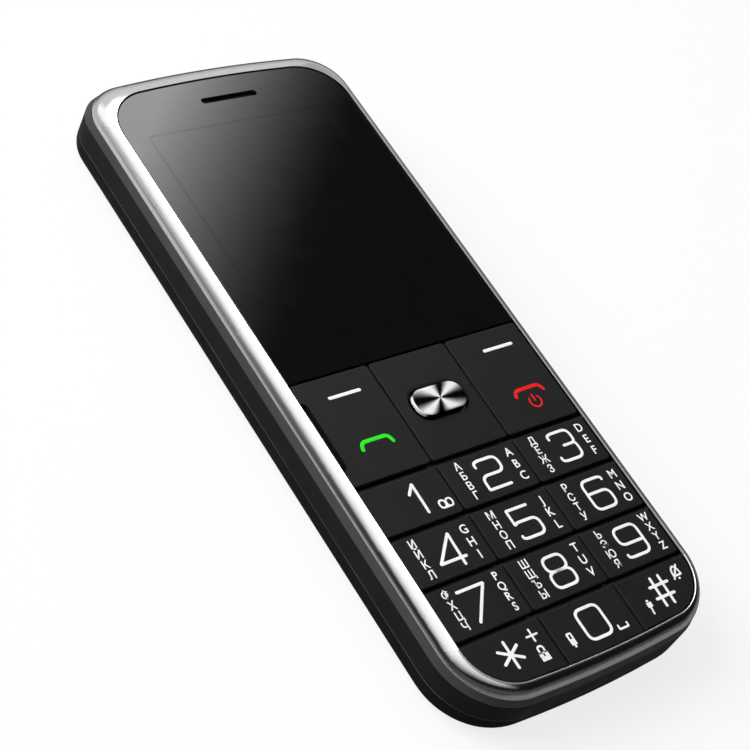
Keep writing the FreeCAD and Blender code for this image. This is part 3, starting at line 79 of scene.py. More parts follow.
class Graph:
    """The node graph of a material or a world, with short calls for adding and joining nodes.

    Every length is in millimetres, and every pattern lies in the object's own coordinates.
    """

    def __init__(self, owner: bpy.types.Material | bpy.types.World, output: str = "ShaderNodeOutputMaterial") -> None:
        """Empties a graph down to its output.

        Args:
            owner: The material or the world.
            output: The type name of its output.
        """
        self.owner = owner
        owner.use_nodes = True
        self.tree = owner.node_tree
        self.tree.nodes.clear()
        self.output = self.node(output)

    @property
    def place(self) -> Socket:
        """Gives the object's own coordinates, in metres."""
        return self.node("ShaderNodeTexCoord").outputs["Object"]

    def put(self, value: Any, slot: Socket) -> None:
        """Joins another node's output to an input, or sets the input to a constant.

        Args:
            value: The output, number, colour or vector.
            slot: The input.
        """
        if isinstance(value, bpy.types.NodeSocket):
            self.tree.links.new(value, slot)
        elif slot.type == "RGBA":
            slot.default_value = (*value, 1.0)
        else:
            slot.default_value = value

    def node(self, kind: str, values: dict[Any, Any] | None = None, **settings: Any) -> bpy.types.Node:
        """Adds a node.

        Args:
            kind: The node's type name.
            values: Input name or number to a constant or to another node's output.
            settings: The node's own settings.

        Returns:
            The new node.
        """
        made = self.tree.nodes.new(kind)
        for name, value in settings.items():
            setattr(made, name, value)
        for name, value in (values or {}).items():
            self.put(value, made.inputs[name])
        return made

    def sum(self, kind: str, first: Socket | float, second: Socket | float = 0.0, clamp: bool = False) -> Socket:
        """Joins two values by an operation such as ADD, clamped between 0 and 1 where that is asked for."""
        return self.node("ShaderNodeMath", {0: first, 1: second}, operation=kind, use_clamp=clamp).outputs[0]

    def times(self, first: Socket | float, second: Socket | float) -> Socket:
        """Multiplies two values."""
        return self.sum("MULTIPLY", first, second)

    def power(self, base: Socket, exponent: float) -> Socket:
        """Raises a value to a power."""
        return self.sum("POWER", base, exponent)

    def radius(self, x: Socket, y: Socket) -> Socket:
        """Gives the distance from the middle."""
        return self.sum("SQRT", self.sum("ADD", self.times(x, x), self.times(y, y)))

    def split(self, where: Socket) -> tuple[Socket, Socket, Socket]:
        """Gives the x, the y and the z of coordinates."""
        return tuple(self.node("ShaderNodeSeparateXYZ", {0: where}).outputs)

    def past(self, where: Socket, half: Flat) -> list[Socket]:
        """Gives how far x and y lie outside a rectangle about the middle, of half its width and length."""
        return [self.sum("SUBTRACT", self.sum("ABSOLUTE", part), size) for part, size in zip(self.split(where), half)]

    def turned(self, centre: Flat = (0.0, 0.0), angle: float = 0.0, stretch: Colour = (1.0, 1.0, 1.0)) -> Socket:
        """Gives the object's coordinates about a centre, turned by degrees about z and finer along each axis."""
        moved = self.node("ShaderNodeVectorMath", {0: self.place, 1: (centre[0] * MM, centre[1] * MM, 0.0)},
                          operation="SUBTRACT").outputs[0]
        return self.node("ShaderNodeMapping", {"Vector": moved, "Rotation": (0.0, 0.0, math.radians(angle)),
                                               "Scale": tuple(value / MM for value in stretch)}).outputs[0]

    def noise(self, size: float, detail: float = 2.0, where: Socket | None = None) -> Socket:
        """Gives soft noise between 0 and 1, in coordinates in millimetres or in the object's own."""
        return self.node("ShaderNodeTexNoise", {"Vector": where or self.turned(), "Scale": 1.0 / size,
                                                "Detail": detail}).outputs["Fac"]

    def span(self, value: Socket, low: float, high: float, new_low: float = 0.0, new_high: float = 1.0) -> Socket:
        """Moves a value from one range to another, clamped."""
        return self.node("ShaderNodeMapRange", {"Value": value, "From Min": low, "From Max": high,
                                                "To Min": new_low, "To Max": new_high}).outputs["Result"]

    def mixed(self, share: Socket, first: Colour | Socket, second: Colour | Socket) -> Socket:
        """Mixes two colours, by the share of the second one."""
        return self.node("ShaderNodeMix", {0: share, 6: first, 7: second}, data_type="RGBA").outputs[2]

    def between(self, share: Socket, first: Socket | float, second: Socket | float) -> Socket:
        """Mixes two values, by the share of the second one."""
        return self.node("ShaderNodeMix", {0: share, 2: first, 3: second}, data_type="FLOAT").outputs[0]

    def hairlines(self, angle: float, share: float, length: float = 7.0, width: float = 0.16) -> Socket:
        """Gives sparse fine scratches that run one way, with 1 on a scratch and 0 off it."""
        lines = self.turned((3.0, 1.0), angle, (1.0 / length, 1.0 / width, 1.0 / length))
        return self.span(self.noise(1.0, 1.0, lines), 0.78 - share, 0.84 - share)

    def bump(self, height: Socket, depth: float) -> Socket:
        """Gives the normal of a fine relief of a depth."""
        return self.node("ShaderNodeBump", {"Height": height, "Strength": 1.0, "Distance": depth * MM}).outputs[0]

    def finish(self, values: dict[Any, Any], kind: str = "ShaderNodeBsdfPrincipled") -> bpy.types.Material:
        """Adds the surface shader with its inputs, joins it to the output and gives the finished material."""
        self.put(self.node(kind, values).outputs[0], self.output.inputs["Surface"])
        return self.owner


# Finishes


@dataclass(frozen=True)
class Finish:
    """A plain moulded, plated or coated surface.

    Attributes:
        name: The material's name, which is its slot's name in the record.
        colour: The main colour.
        second_colour: The colour that its blotches and scratches drift to; the spun finish also uses it for the painted
            shade between its painted reflection rays and on its edge.
        rough: The mean roughness.
        spread: How far the roughness drifts either way.
        metal: 1 for bare metal and 0 for the rest.
        gloss: The specular level.
        grain: The size of one grain of its texture.
        depth: The height of that texture.
        scratch: The share of the surface with hairline scratches.
        clear: How much light passes through.
        blotch: The size of one blotch of the colour.
        patch: The size of one patch of the roughness.
        marked: How far a scratch changes the colour, and the roughness.
    """

    name: str
    colour: Colour
    second_colour: Colour
    rough: float = 0.5
    spread: float = 0.08
    metal: float = 0.0
    gloss: float = 0.3
    grain: float = 0.3
    depth: float = 0.004
    scratch: float = 0.0
    clear: float = 0.0
    blotch: float = 6.0
    patch: float = 4.0
    marked: Flat = (0.35, 0.12)

    def tone(self, graph: Graph) -> Socket:
        """Gives the colour over the surface."""
        drift = graph.span(graph.noise(self.blotch, 4.0), 0.35, 0.7, 0.0, 0.6)
        return graph.mixed(drift, self.colour, self.second_colour)

    def relief(self, graph: Graph) -> Socket:
        """Gives the height of the fine texture, between 0 and 1."""
        return graph.noise(self.grain, 3.0)

    def shine(self, graph: Graph) -> Socket | float:
        """Gives the specular level over the surface."""
        return self.gloss

    def make(self) -> bpy.types.Material:
        """Builds the material.

        Returns:
            The material.
        """
        graph = Graph(bpy.data.materials.new(self.name))
        marks = graph.sum("ADD", graph.hairlines(20.0, self.scratch), graph.hairlines(-55.0, self.scratch), True)
        rough = graph.span(graph.noise(self.patch, 5.0), 0.3, 0.7, self.rough - self.spread, self.rough + self.spread)
        return graph.finish({
            "Base Color": graph.mixed(graph.times(marks, self.marked[0]), self.tone(graph), self.second_colour),
            "Roughness": graph.sum("ADD", rough, graph.times(marks, self.marked[1]), True),
            "Metallic": self.metal,
            "Specular IOR Level": self.shine(graph),
            "Transmission Weight": self.clear,
            "Normal": graph.bump(self.relief(graph), self.depth),
        })


@dataclass(frozen=True)
class SpunFinish(Finish):
    """Bare metal turned on a lathe, with fine rings, light and dark rays of painted reflection and an edge with a
    painted highlight.

    Attributes:
        centre: The middle of the rings.
        rays: How many bright rays of painted reflection it has.
        turn: The turn of the rays in degrees.
        gather: How far the rays lean towards that turn's axis, in radians.
        ring: The distance between two rings.
        wave: Where in its wave a ray starts to show, and where it shows fully.
        soften: How softly a ray goes over into the dark beside it.
        uneven: How far soft noise changes the rays.
        flat: The height where the flat top with its painted rays ends and the edge starts.
        foot: The height that the edge's painted highlight reaches down to.
        painted_glint: How far left of the middle the edge's painted highlight starts, and where it is full.
        skew: How far that left leans along y.
        painted_glint_colour: The colour of that painted highlight.
    """

    centre: Flat = (0.0, 0.0)
    rays: int = 4
    turn: float = 0.0
    gather: float = 0.22
    ring: float = 0.12
    wave: Flat = (-0.74, 1.0)
    soften: float = 1.7
    uneven: float = 0.3
    flat: float = 13.56
    foot: float = 12.92
    painted_glint: Flat = (4.4, 4.8)
    skew: float = -0.1
    painted_glint_colour: Colour = (1.0, 1.0, 1.0)

    def painted_reflection_rays(self, graph: Graph) -> Socket:
        """Gives the rays of painted reflection.

        Args:
            graph: The material's graph.

        Returns:
            1 where a ray is bright and 0 between two.
        """
        x, y, _ = graph.split(graph.turned(self.centre, self.turn))
        angle = graph.sum("ARCTAN2", y, x)
        lean = graph.times(graph.sum("SINE", graph.times(angle, 2.0)), self.gather)
        wave = graph.sum("COSINE", graph.times(graph.sum("ADD", angle, lean), float(self.rays)))
        uneven = graph.times(graph.noise(1.0, 2.0, graph.turned(self.centre, 0.0, (0.5, 0.5, 0.5))), self.uneven)
        return graph.power(graph.span(graph.sum("ADD", wave, uneven), *self.wave), self.soften)

    def tone(self, graph: Graph) -> Socket:
        """Gives the colour: rays of painted reflection on the flat top, and a dark edge with a painted highlight at its
        left end.

        Args:
            graph: The material's graph.

        Returns:
            The colour.
        """
        x, y, height = graph.split(graph.turned(self.centre))
        # The edge is painted dark, with a painted highlight at its left end.
        left = graph.span(graph.sum("SUBTRACT", graph.times(y, self.skew), x), *self.painted_glint)
        above = graph.span(height, self.foot - 0.05, self.foot + 0.05)
        edge = graph.mixed(graph.times(left, above), self.second_colour, self.painted_glint_colour)
        top = graph.span(height, self.flat - 0.04, self.flat + 0.04)
        # The flat top takes light and dark rays of painted reflection.
        return graph.mixed(top, edge, graph.mixed(self.painted_reflection_rays(graph), self.second_colour, self.colour))

    def relief(self, graph: Graph) -> Socket:
        """Gives the height of the turned rings, between 0 and 1."""
        turns = graph.times(graph.radius(*graph.split(graph.turned(self.centre))[:2]), math.tau / self.ring)
        return graph.span(graph.sum("SINE", turns), -1.0, 1.0)


@dataclass(frozen=True)
class LensFinish(Finish):
    """The black window, with the edge of the display area just to be seen under it.

    Attributes:
        middle: The display area's middle.
        half: Half its width and length.
        line: The width of the area's edge.
        dull: The share of the gloss that the edge keeps.
    """

    middle: Flat = (0.0, 28.9)
    half: Flat = (20.2, 23.2)
    line: float = 0.24
    dull: float = 0.78

    def shine(self, graph: Graph) -> Socket:
        """Gives the specular level, lower on the display area's edge."""
        off = graph.sum("ABSOLUTE", graph.sum("MAXIMUM", *graph.past(graph.turned(self.middle), self.half)))
        return graph.span(off, self.line / 2, self.line, self.gloss * self.dull, self.gloss)


@dataclass(frozen=True)
class RimmedFinish(Finish):
    """A moulded shell with a painted highlight: a pale line along its rim, standing for the highlight of a rounded
    edge.

    Attributes:
        rim: The height of the rim.
        width: The width of the painted highlight below it.
        pale: The colour of that painted highlight.
    """

    rim: float = 5.1
    width: float = 0.16
    pale: Colour = (0.075, 0.075, 0.077)

    def tone(self, graph: Graph) -> Socket:
        """Gives the colour, with a painted highlight along the rim.

        Args:
            graph: The material's graph.

        Returns:
            The colour.
        """
        height = graph.split(graph.turned())[2]
        uneven = graph.span(graph.noise(9.0, 3.0), 0.35, 0.6, 0.45, 1.0)
        # A painted highlight along the rim, broken up by soft noise.
        line = graph.times(graph.span(height, self.rim - self.width, self.rim - self.width / 3), uneven)
        return graph.mixed(line, super().tone(graph), self.pale)


@dataclass(frozen=True)
class KeysFinish(Finish):
    """The keys' coating, with painted shade: a soft black border round the select key's moat, standing for the shadow
    in its well.

    Attributes:
        centre: The middle of the painted shade.
        half: Half the length and width of the select key.
        corner: The radius of its corners.
        moat_shade: How far outside the key the painted shade starts to fade, and where it ends.
        black: The painted shade's colour.
    """

    centre: Flat = (0.12, -12.83)
    half: Flat = (5.3, 2.75)
    corner: float = 2.4
    moat_shade: Flat = (0.55, 0.95)
    black: Colour = (0.0003, 0.0003, 0.0003)

    def tone(self, graph: Graph) -> Socket:
        """Gives the colour, with black painted shade round the select key.

        Args:
            graph: The material's graph.

        Returns:
            The colour.
        """
        straight = tuple(half - self.corner for half in self.half)
        past = [graph.sum("MAXIMUM", part) for part in graph.past(graph.turned(self.centre), straight)]
        away = graph.sum("SUBTRACT", graph.radius(*past), self.corner)
        # Painted shade: black round the select key, fading out away from it.
        return graph.mixed(graph.span(away, *self.moat_shade), self.black, super().tone(graph))


@dataclass(frozen=True)
class BoardFinish(Finish):
    """A circuit board: lacquer over copper tracks, with small bare pads.

    Attributes:
        pitch: The distance between two tracks.
        width: The width of one track.
        bare: The colour of the bare pads.
    """

    pitch: float = 0.9
    width: float = 0.16
    bare: Colour = (0.8, 0.62, 0.3)

    def relief(self, graph: Graph) -> Socket:
        """Gives the height of the copper tracks, 1 on one and 0 between them."""
        return graph.node("ShaderNodeTexBrick", {
            "Vector": graph.turned(angle=45.0), "Color1": (1.0, 1.0, 1.0), "Color2": (0.7, 0.7, 0.7),
            "Mortar": (0.0, 0.0, 0.0), "Scale": 1.0, "Mortar Size": self.width, "Mortar Smooth": 0.1,
            "Brick Width": self.pitch * 7.0, "Row Height": self.pitch}, offset=0.4).outputs["Fac"]

    def tone(self, graph: Graph) -> Socket:
        """Gives the colour, copper under the lacquer and bare on the pads."""
        dots = graph.node("ShaderNodeTexVoronoi", {"Vector": graph.turned(), "Scale": 0.5, "Randomness": 0.8})
        return graph.mixed(graph.span(dots.outputs["Distance"], 0.12, 0.14, 1.0, 0.0),
                           graph.mixed(self.relief(graph), self.second_colour, self.colour), self.bare)


@dataclass(frozen=True)
class WovenFinish(Finish):
    """A fine woven or punched screen, with painted shade in its holes.

    Attributes:
        pitch: The distance between two wires.
    """

    pitch: float = 0.22

    def relief(self, graph: Graph) -> Socket:
        """Gives the height of the wires, between 0 and 1."""
        waves = [graph.sum("SINE", graph.times(part, math.tau / self.pitch))
                 for part in graph.split(graph.turned())[:2]]
        return graph.span(graph.times(*waves), -0.3, 0.6)

    def tone(self, graph: Graph) -> Socket:
        """Gives the colour, paler on the wires and near black between them, as painted shade in the holes."""
        # The near black between the wires is painted shade where the holes are.
        return graph.mixed(self.relief(graph), self.colour, self.second_colour)


@dataclass(frozen=True)
class BrushedFinish(Finish):
    """Sheet metal with a fine grain that runs one way.

    Attributes:
        metal: 1, for bare metal.
        angle: The grain's direction in degrees.
        length: The length of one brush mark.
    """

    metal: float = 1.0
    angle: float = 0.0
    length: float = 9.0

    def relief(self, graph: Graph) -> Socket:
        """Gives the height of the brush marks, between 0 and 1."""
        across = (1.0 / self.length, 1.0 / self.grain, 1.0 / self.grain)
        return graph.noise(1.0, 2.0, graph.turned((0.0, 0.0), self.angle, across))


FINISHES: tuple[Finish, ...] = (
    Finish("chrome", (0.9, 0.9, 0.905), (0.82, 0.82, 0.83), 0.12, 0.02, 1.0, grain=1.5, depth=0.0005, scratch=0.02),
    # The select key's white and near black are the light and dark of its painted reflection and painted highlight.
    SpunFinish("select_metal", (0.97, 0.97, 0.97), (0.001, 0.001, 0.001), 0.3, 0.02, 0.3, gloss=0.03, depth=0.0002,
               scratch=0.01, centre=(0.0, -12.95), turn=-27.0),
    Finish("front_shell", (0.04, 0.04, 0.0415), (0.048, 0.048, 0.0495), 0.42, 0.06, gloss=0.1, scratch=0.03),
    Finish("side_shell", (0.0085, 0.0085, 0.009), (0.012, 0.012, 0.0125), 0.48, 0.06, gloss=0.06, scratch=0.04),
    # The cover's pale rim line is a painted highlight.
    RimmedFinish("cover_shell", (0.006, 0.006, 0.0064), (0.009, 0.009, 0.0094), 0.5, 0.06, gloss=0.05,
                 depth=0.008, scratch=0.05),
    LensFinish("lens", (0.004, 0.004, 0.0043), (0.005, 0.005, 0.0055), 0.05, 0.03, gloss=0.5, depth=0.0002,
               grain=3.0, scratch=0.02),
    # The keys carry painted shade round the select key.
    KeysFinish("keys", (0.0085, 0.0085, 0.0088), (0.011, 0.011, 0.0114), 0.46, 0.05, gloss=0.15, scratch=0.02),
    Finish("white_rubber", (0.75, 0.76, 0.77), (0.68, 0.69, 0.7), 0.6),
    Finish("black_rubber", (0.03, 0.03, 0.03), (0.04, 0.04, 0.04), 0.75),
    # The mesh is painted near black between its wires, as shade in its holes.
    WovenFinish("mesh", (0.01, 0.01, 0.01), (0.12, 0.12, 0.12), 0.5, depth=0.05),
    Finish("adhesive", (0.08, 0.08, 0.08), (0.1, 0.1, 0.1), 0.6),
    Finish("film", (0.8, 0.8, 0.82), (0.7, 0.7, 0.72), 0.25),
    BrushedFinish("spring_steel", (0.7, 0.7, 0.7), (0.6, 0.6, 0.6), 0.3, scratch=0.05),
    Finish("led", (0.9, 0.88, 0.7), (0.9, 0.8, 0.4), 0.2),
    Finish("clear", (0.85, 0.87, 0.88), (0.8, 0.82, 0.84), 0.08, 0.03, clear=0.6, gloss=0.5),
    Finish("display", (0.04, 0.045, 0.05), (0.05, 0.055, 0.06), 0.12, 0.04),
    BoardFinish("flex", (0.6, 0.3, 0.06), (0.42, 0.2, 0.04), 0.35, depth=0.02, pitch=0.5),
    BoardFinish("board", (0.02, 0.16, 0.08), (0.01, 0.09, 0.045), 0.4, depth=0.03),
    Finish("connector", (0.05, 0.05, 0.05), (0.06, 0.06, 0.06), 0.5),
    BrushedFinish("transducer", (0.5, 0.5, 0.52), (0.42, 0.42, 0.44), 0.35),
    BrushedFinish("motor", (0.6, 0.6, 0.62), (0.5, 0.5, 0.52), 0.3, angle=90.0),
    BrushedFinish("battery_case", (0.75, 0.75, 0.76), (0.68, 0.68, 0.69), 0.35, scratch=0.04, angle=90.0),
    Finish("gold", (0.83, 0.64, 0.24), (0.75, 0.55, 0.2), 0.25, metal=1.0),
    Finish("card", (0.85, 0.85, 0.85), (0.78, 0.78, 0.79), 0.4, scratch=0.03),
    Finish("card_dark", (0.05, 0.05, 0.06), (0.07, 0.07, 0.08), 0.4, scratch=0.03),
    BrushedFinish("screw", (0.35, 0.35, 0.36), (0.3, 0.3, 0.3), 0.35),
)


# Modelling, in millimetres and degrees

# The rounding of a corner that names none, the steps in a rounded corner, and where a stroke's round end is cut
SHARP = 0.14
CORNER_STEPS = 8
END_CUTS = (85.0, 65.0, 45.0, 22.0)
# A capital letter's height as a share of its font's size, and half the thickness of a printed letter
CAPITAL = 0.7
HALF_LETTER = 0.012
# The greatest angle between two faces that are shaded as one
SMOOTH = 35.0


class Ink(Enum):
    """The printing inks, each with its colour."""

    WHITE = (0.93, 0.93, 0.93)
    GREEN = (0.024, 0.79, 0.013)
    RED = (0.79, 0.007, 0.007)
    BLACK = (0.003, 0.003, 0.0032)
    GREY = (0.3, 0.3, 0.31)

    def make(self) -> bpy.types.Material:
        """Gives the ink's material, made once.

        Returns:
            The material.
        """
        name = f"ink_{self.name.lower()}"
        made = bpy.data.materials.get(name)
        if made is None:
            dimmed = tuple(0.93 * part for part in self.value)
            gloss = 0.02 if self is Ink.BLACK else 0.15
            made = Finish(name, self.value, dimmed, 0.55, 0.06, gloss=gloss, grain=0.08, depth=0.004,
                          scratch=0.03).make()
        return made


def take(piece: bpy.types.Object) -> None:
    """Makes a piece the only selected one.

    Args:
        piece: The piece.
    """
    bpy.ops.object.select_all(action="DESELECT")
    piece.select_set(True)
    bpy.context.view_layer.objects.active = piece


def settle(piece: bpy.types.Object, name: str, material: bpy.types.Material) -> bpy.types.Object:
    """Names a piece, puts its place into its mesh and gives it its only material.

    Args:
        piece: The piece.
        name: Its name.
        material: Its material.

    Returns:
        The piece.
    """
    take(piece)
    bpy.ops.object.transform_apply()
    piece.name = name
    piece.data.name = name
    piece.data.materials.clear()
    piece.data.materials.append(material)
    bpy.ops.object.shade_smooth_by_angle(angle=math.radians(SMOOTH))
    return piece


def attach(piece: bpy.types.Object, body: str) -> None:
    """Makes a finished piece ride on a body, and logs which body it rides on.

    Args:
        piece: The piece.
        body: The body.
    """
    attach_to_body(piece, body)
    LOG.info("%s on %s", piece.name, body)


def joined(pieces: list[bpy.types.Object]) -> bpy.types.Object:
    """Joins pieces into one.

    Args:
        pieces: The pieces.

    Returns:
        The first piece, which now holds them all.
    """
    take(pieces[0])
    for piece in pieces:
        piece.select_set(True)
    if len(pieces) > 1:
        bpy.ops.object.join()
    return pieces[0]


def new_block(low: Colour, high: Colour) -> bpy.types.Object:
    """Models a block.

    Args:
        low: Its lowest corner in millimetres.
        high: Its highest corner.

    Returns:
        The block.
    """
    middle = [(a + b) / 2 * MM for a, b in zip(low, high)]
    bpy.ops.mesh.primitive_cube_add(size=1.0, location=middle, scale=[(b - a) * MM for a, b in zip(low, high)])
    bpy.ops.object.transform_apply()
    return bpy.context.object


def new_plate(low: Colour, high: Colour, corner: float) -> bpy.types.Object:
    """Models a thin plate with round corners.

    Args:
        low: The lowest corner of its box in millimetres.
        high: The highest corner.
        corner: The radius of its corners in millimetres.

    Returns:
        The plate.
    """
    size = [(b - a) * MM for a, b in zip(low, high)]
    middle = [(a + b) / 2 * MM for a, b in zip(low[:2], high)]
    bpy.ops.mesh.primitive_plane_add(size=1.0, location=(*middle, low[2] * MM))
    plate = bpy.context.object
    plate.scale = (*size[:2], 1.0)
    bpy.ops.object.transform_apply()
    bpy.ops.object.mode_set(mode="EDIT")
    bpy.ops.mesh.select_all(action="SELECT")
    bpy.ops.mesh.bevel(offset=corner * MM, segments=6, affect="VERTICES")
    bpy.ops.mesh.extrude_region_move(TRANSFORM_OT_translate={"value": (0.0, 0.0, size[2])})
    bpy.ops.mesh.select_all(action="SELECT")
    bpy.ops.mesh.normals_make_consistent(inside=False)
    bpy.ops.object.mode_set(mode="OBJECT")
    return plate


def rounded(line: Line) -> tuple[list[Flat], bool]:
    """Rounds the corners of a line.

    Args:
        line: Its corners: x, y and the length that the rounding takes, or SHARP where it isn't given.

    Returns:
        The points of the rounded line, and whether it is closed.
    """
    closed = line[0][:2] == line[-1][:2]
    corners = line[:-1] if closed else line
    points: list[Flat] = []
    for place, corner in enumerate(corners):
        here = Vector(corner[:2])
        if not closed and place in (0, len(corners) - 1):
            points.append(tuple(here))
            continue
        ends = []
        for other in (corners[place - 1], corners[(place + 1) % len(corners)]):
            away = Vector(other[:2]) - here
            ends.append(here + away.normalized() * min(corner[2] if len(corner) > 2 else SHARP, away.length / 2))
        for step in range(CORNER_STEPS + 1):
            share = step / CORNER_STEPS
            points.append(tuple(ends[0] * (1 - share) ** 2 + here * 2 * share * (1 - share) + ends[1] * share ** 2))
    return points, closed


def round_ends(points: list[Flat], width: float) -> list[Colour]:
    """Rounds the two ends of an open stroke.

    Args:
        points: The stroke's points.
        width: Its width.

    Returns:
        The points, each with the share of the full width that the stroke has there.
    """
    ends = []
    for end, near in ((points[0], points[1]), (points[-1], points[-2])):
        back = (Vector(near) - Vector(end)).normalized() * (width / 2)
        caps = []
        for angle in END_CUTS:
            slope = math.radians(angle)
            caps.append((*(Vector(end) + back * (1 - math.sin(slope))), math.cos(slope)))
        ends.append([*caps, (*(Vector(end) + back), 1.0)])
    return [*ends[0], *((*point, 1.0) for point in points[1:-1]), *reversed(ends[1])]


def meshed(curve: bpy.types.Curve, place: Colour, scale: Colour, turn: float = 0.0) -> bpy.types.Object:
    """Turns a curve or a text into a mesh at its place.

    Args:
        curve: The curve or text.
        place: Where its origin goes, in millimetres.
        scale: Its scale along each axis.
        turn: The turn about y in radians.

    Returns:
        The mesh piece.
    """
    piece = bpy.data.objects.new(curve.name, curve)
    bpy.context.scene.collection.objects.link(piece)
    take(piece)
    bpy.ops.object.convert(target="MESH")
    piece = bpy.context.object
    piece.scale = scale
    piece.location = [part * MM for part in place]
    piece.rotation_euler = (0.0, turn, 0.0)
    bpy.ops.object.transform_apply()
    return piece


def new_strokes(lines: Strokes, width: float, level: float, fullness: float = 0.07) -> bpy.types.Object:
    """Models strokes of one width: printed ribbons, or wires where they are as thick as wide.

    Args:
        lines: The strokes' corners, as rounded() takes them.
        width: Their width in millimetres.
        level: The height of the surface that they are printed on.
        fullness: Their thickness, as a share of their width.

    Returns:
        The strokes.
    """
    curve = bpy.data.curves.new("strokes", "CURVE")
    curve.dimensions = "3D"
    curve.bevel_depth = width / 2 * MM
    curve.bevel_resolution = 2
    curve.use_fill_caps = True
    for line in lines:
        points, closed = rounded(line)
        points = [(*point, 1.0) for point in points] if closed else round_ends(points, width)
        spline = curve.splines.new("POLY")
        spline.points.add(len(points) - 1)
        spline.use_cyclic_u = closed
        for target, (x, y, share) in zip(spline.points, points):
            target.co = (x * MM, y * MM, 0.0, 1.0)
            target.radius = share
    return meshed(curve, (0.0, 0.0, level), (1.0, 1.0, fullness))


def new_words(words: str, place: Colour, height: float, pitch: float, wide: float = 1.0, weight: float = 0.03,
              below: bool = False) -> bpy.types.Object:
    """Models printed letters or numbers.

    Args:
        words: The letters, with a line break between two rows.
        place: The middle of the print, on the surface that it is printed on.
        height: The height of a capital letter in millimetres.
        pitch: The distance between two rows.
        wide: How much wider than usual they are.
        weight: How much thicker than usual their strokes are, in millimetres.
        below: Printed on the underside of that surface.

    Returns:
        The letters.
    """
    text = bpy.data.curves.new("words", "FONT")
    text.body = words
    text.size = height / CAPITAL * MM
    text.space_line = pitch / (height / CAPITAL)
    text.offset = weight / 2 * MM
    text.extrude = HALF_LETTER * MM
    text.resolution_u = 4
    text.align_x = "CENTER"
    text.align_y = "CENTER"
    return meshed(text, place, (wide, 1.0, 1.0), math.pi if below else 0.0)


# Ring edges


@dataclass(frozen=True)
class RingEdges:
    """The rolled inner and outer edges of the chrome ring, worn to satin.

    Attributes:
        half_width: Half the width of the front opening.
        half_length: Half its length.
        end_radius: The radius of its arched ends.
        corner: The radius of its corners.
        upper: How fast the outer outline's reach and corners grow at the upper end.
        lower: The same at the lower end.
        inner: The inner edge's offset, height and thickness.
        outer: The same for the outer edge.
        thumb: The same for the thicker edge along the lower end.
        steps: The steps in each arc.
    """

    half_width: float = 24.7
    half_length: float = 63.0
    end_radius: float = 240.0
    corner: float = 8.7
    upper: Flat = (1.5, -0.35)
    lower: Flat = (0.88, 1.4)
    inner: Colour = (0.08, 12.9, 0.17)
    outer: Colour = (2.25, 11.06, 0.16)
    thumb: Colour = (0.16, 12.93, 0.3)
    steps: int = 14

    def end(self, offset: float, sign: int) -> list[Flat]:
        """Gives the points round one end, from its own right to its own left.

        Args:
            offset: How far outside the opening.
            sign: 1 for the upper end and -1 for the lower end.

        Returns:
            The points.
        """
        reach, growth = self.upper if sign > 0 else self.lower
        corner = self.corner + offset * growth
        radius = self.end_radius + offset
        side = self.half_width + offset - corner
        arc = self.half_length + offset * reach - radius
        top = arc + math.sqrt((radius - corner) ** 2 - side ** 2)
        turn = math.atan2(top - arc, side)
        points = []
        for step in range(self.steps + 1):
            angle = turn * step / self.steps
            points.append((side + corner * math.cos(angle), top + corner * math.sin(angle)))
        for step in range(1, self.steps):
            angle = turn + (math.pi - 2 * turn) * step / self.steps
            points.append((radius * math.cos(angle), arc + radius * math.sin(angle)))
        points += [(-x, y) for x, y in reversed(points[:self.steps + 1])]
        return [(sign * x, sign * y) for x, y in points]

    def build(self) -> None:
        """Models the edges."""
        satin = Finish("satin_chrome", (0.7, 0.7, 0.705), (0.6, 0.6, 0.61), 0.34, 0.04, 1.0, grain=0.8,
                       depth=0.0004).make()
        for name, ends, (offset, height, thick) in (
                ("ring_inner_edge", (1, -1), self.inner), ("ring_outer_edge", (1, -1), self.outer),
                ("ring_thumb_edge", (-1,), self.thumb)):
            path = [point for sign in ends for point in self.end(offset, sign)]
            closing = path[:1] if len(ends) > 1 else []
            edge = new_strokes(((*path, *closing),), thick, height, 1.0)
            attach(settle(edge, name, satin), "phone")


# Key printing


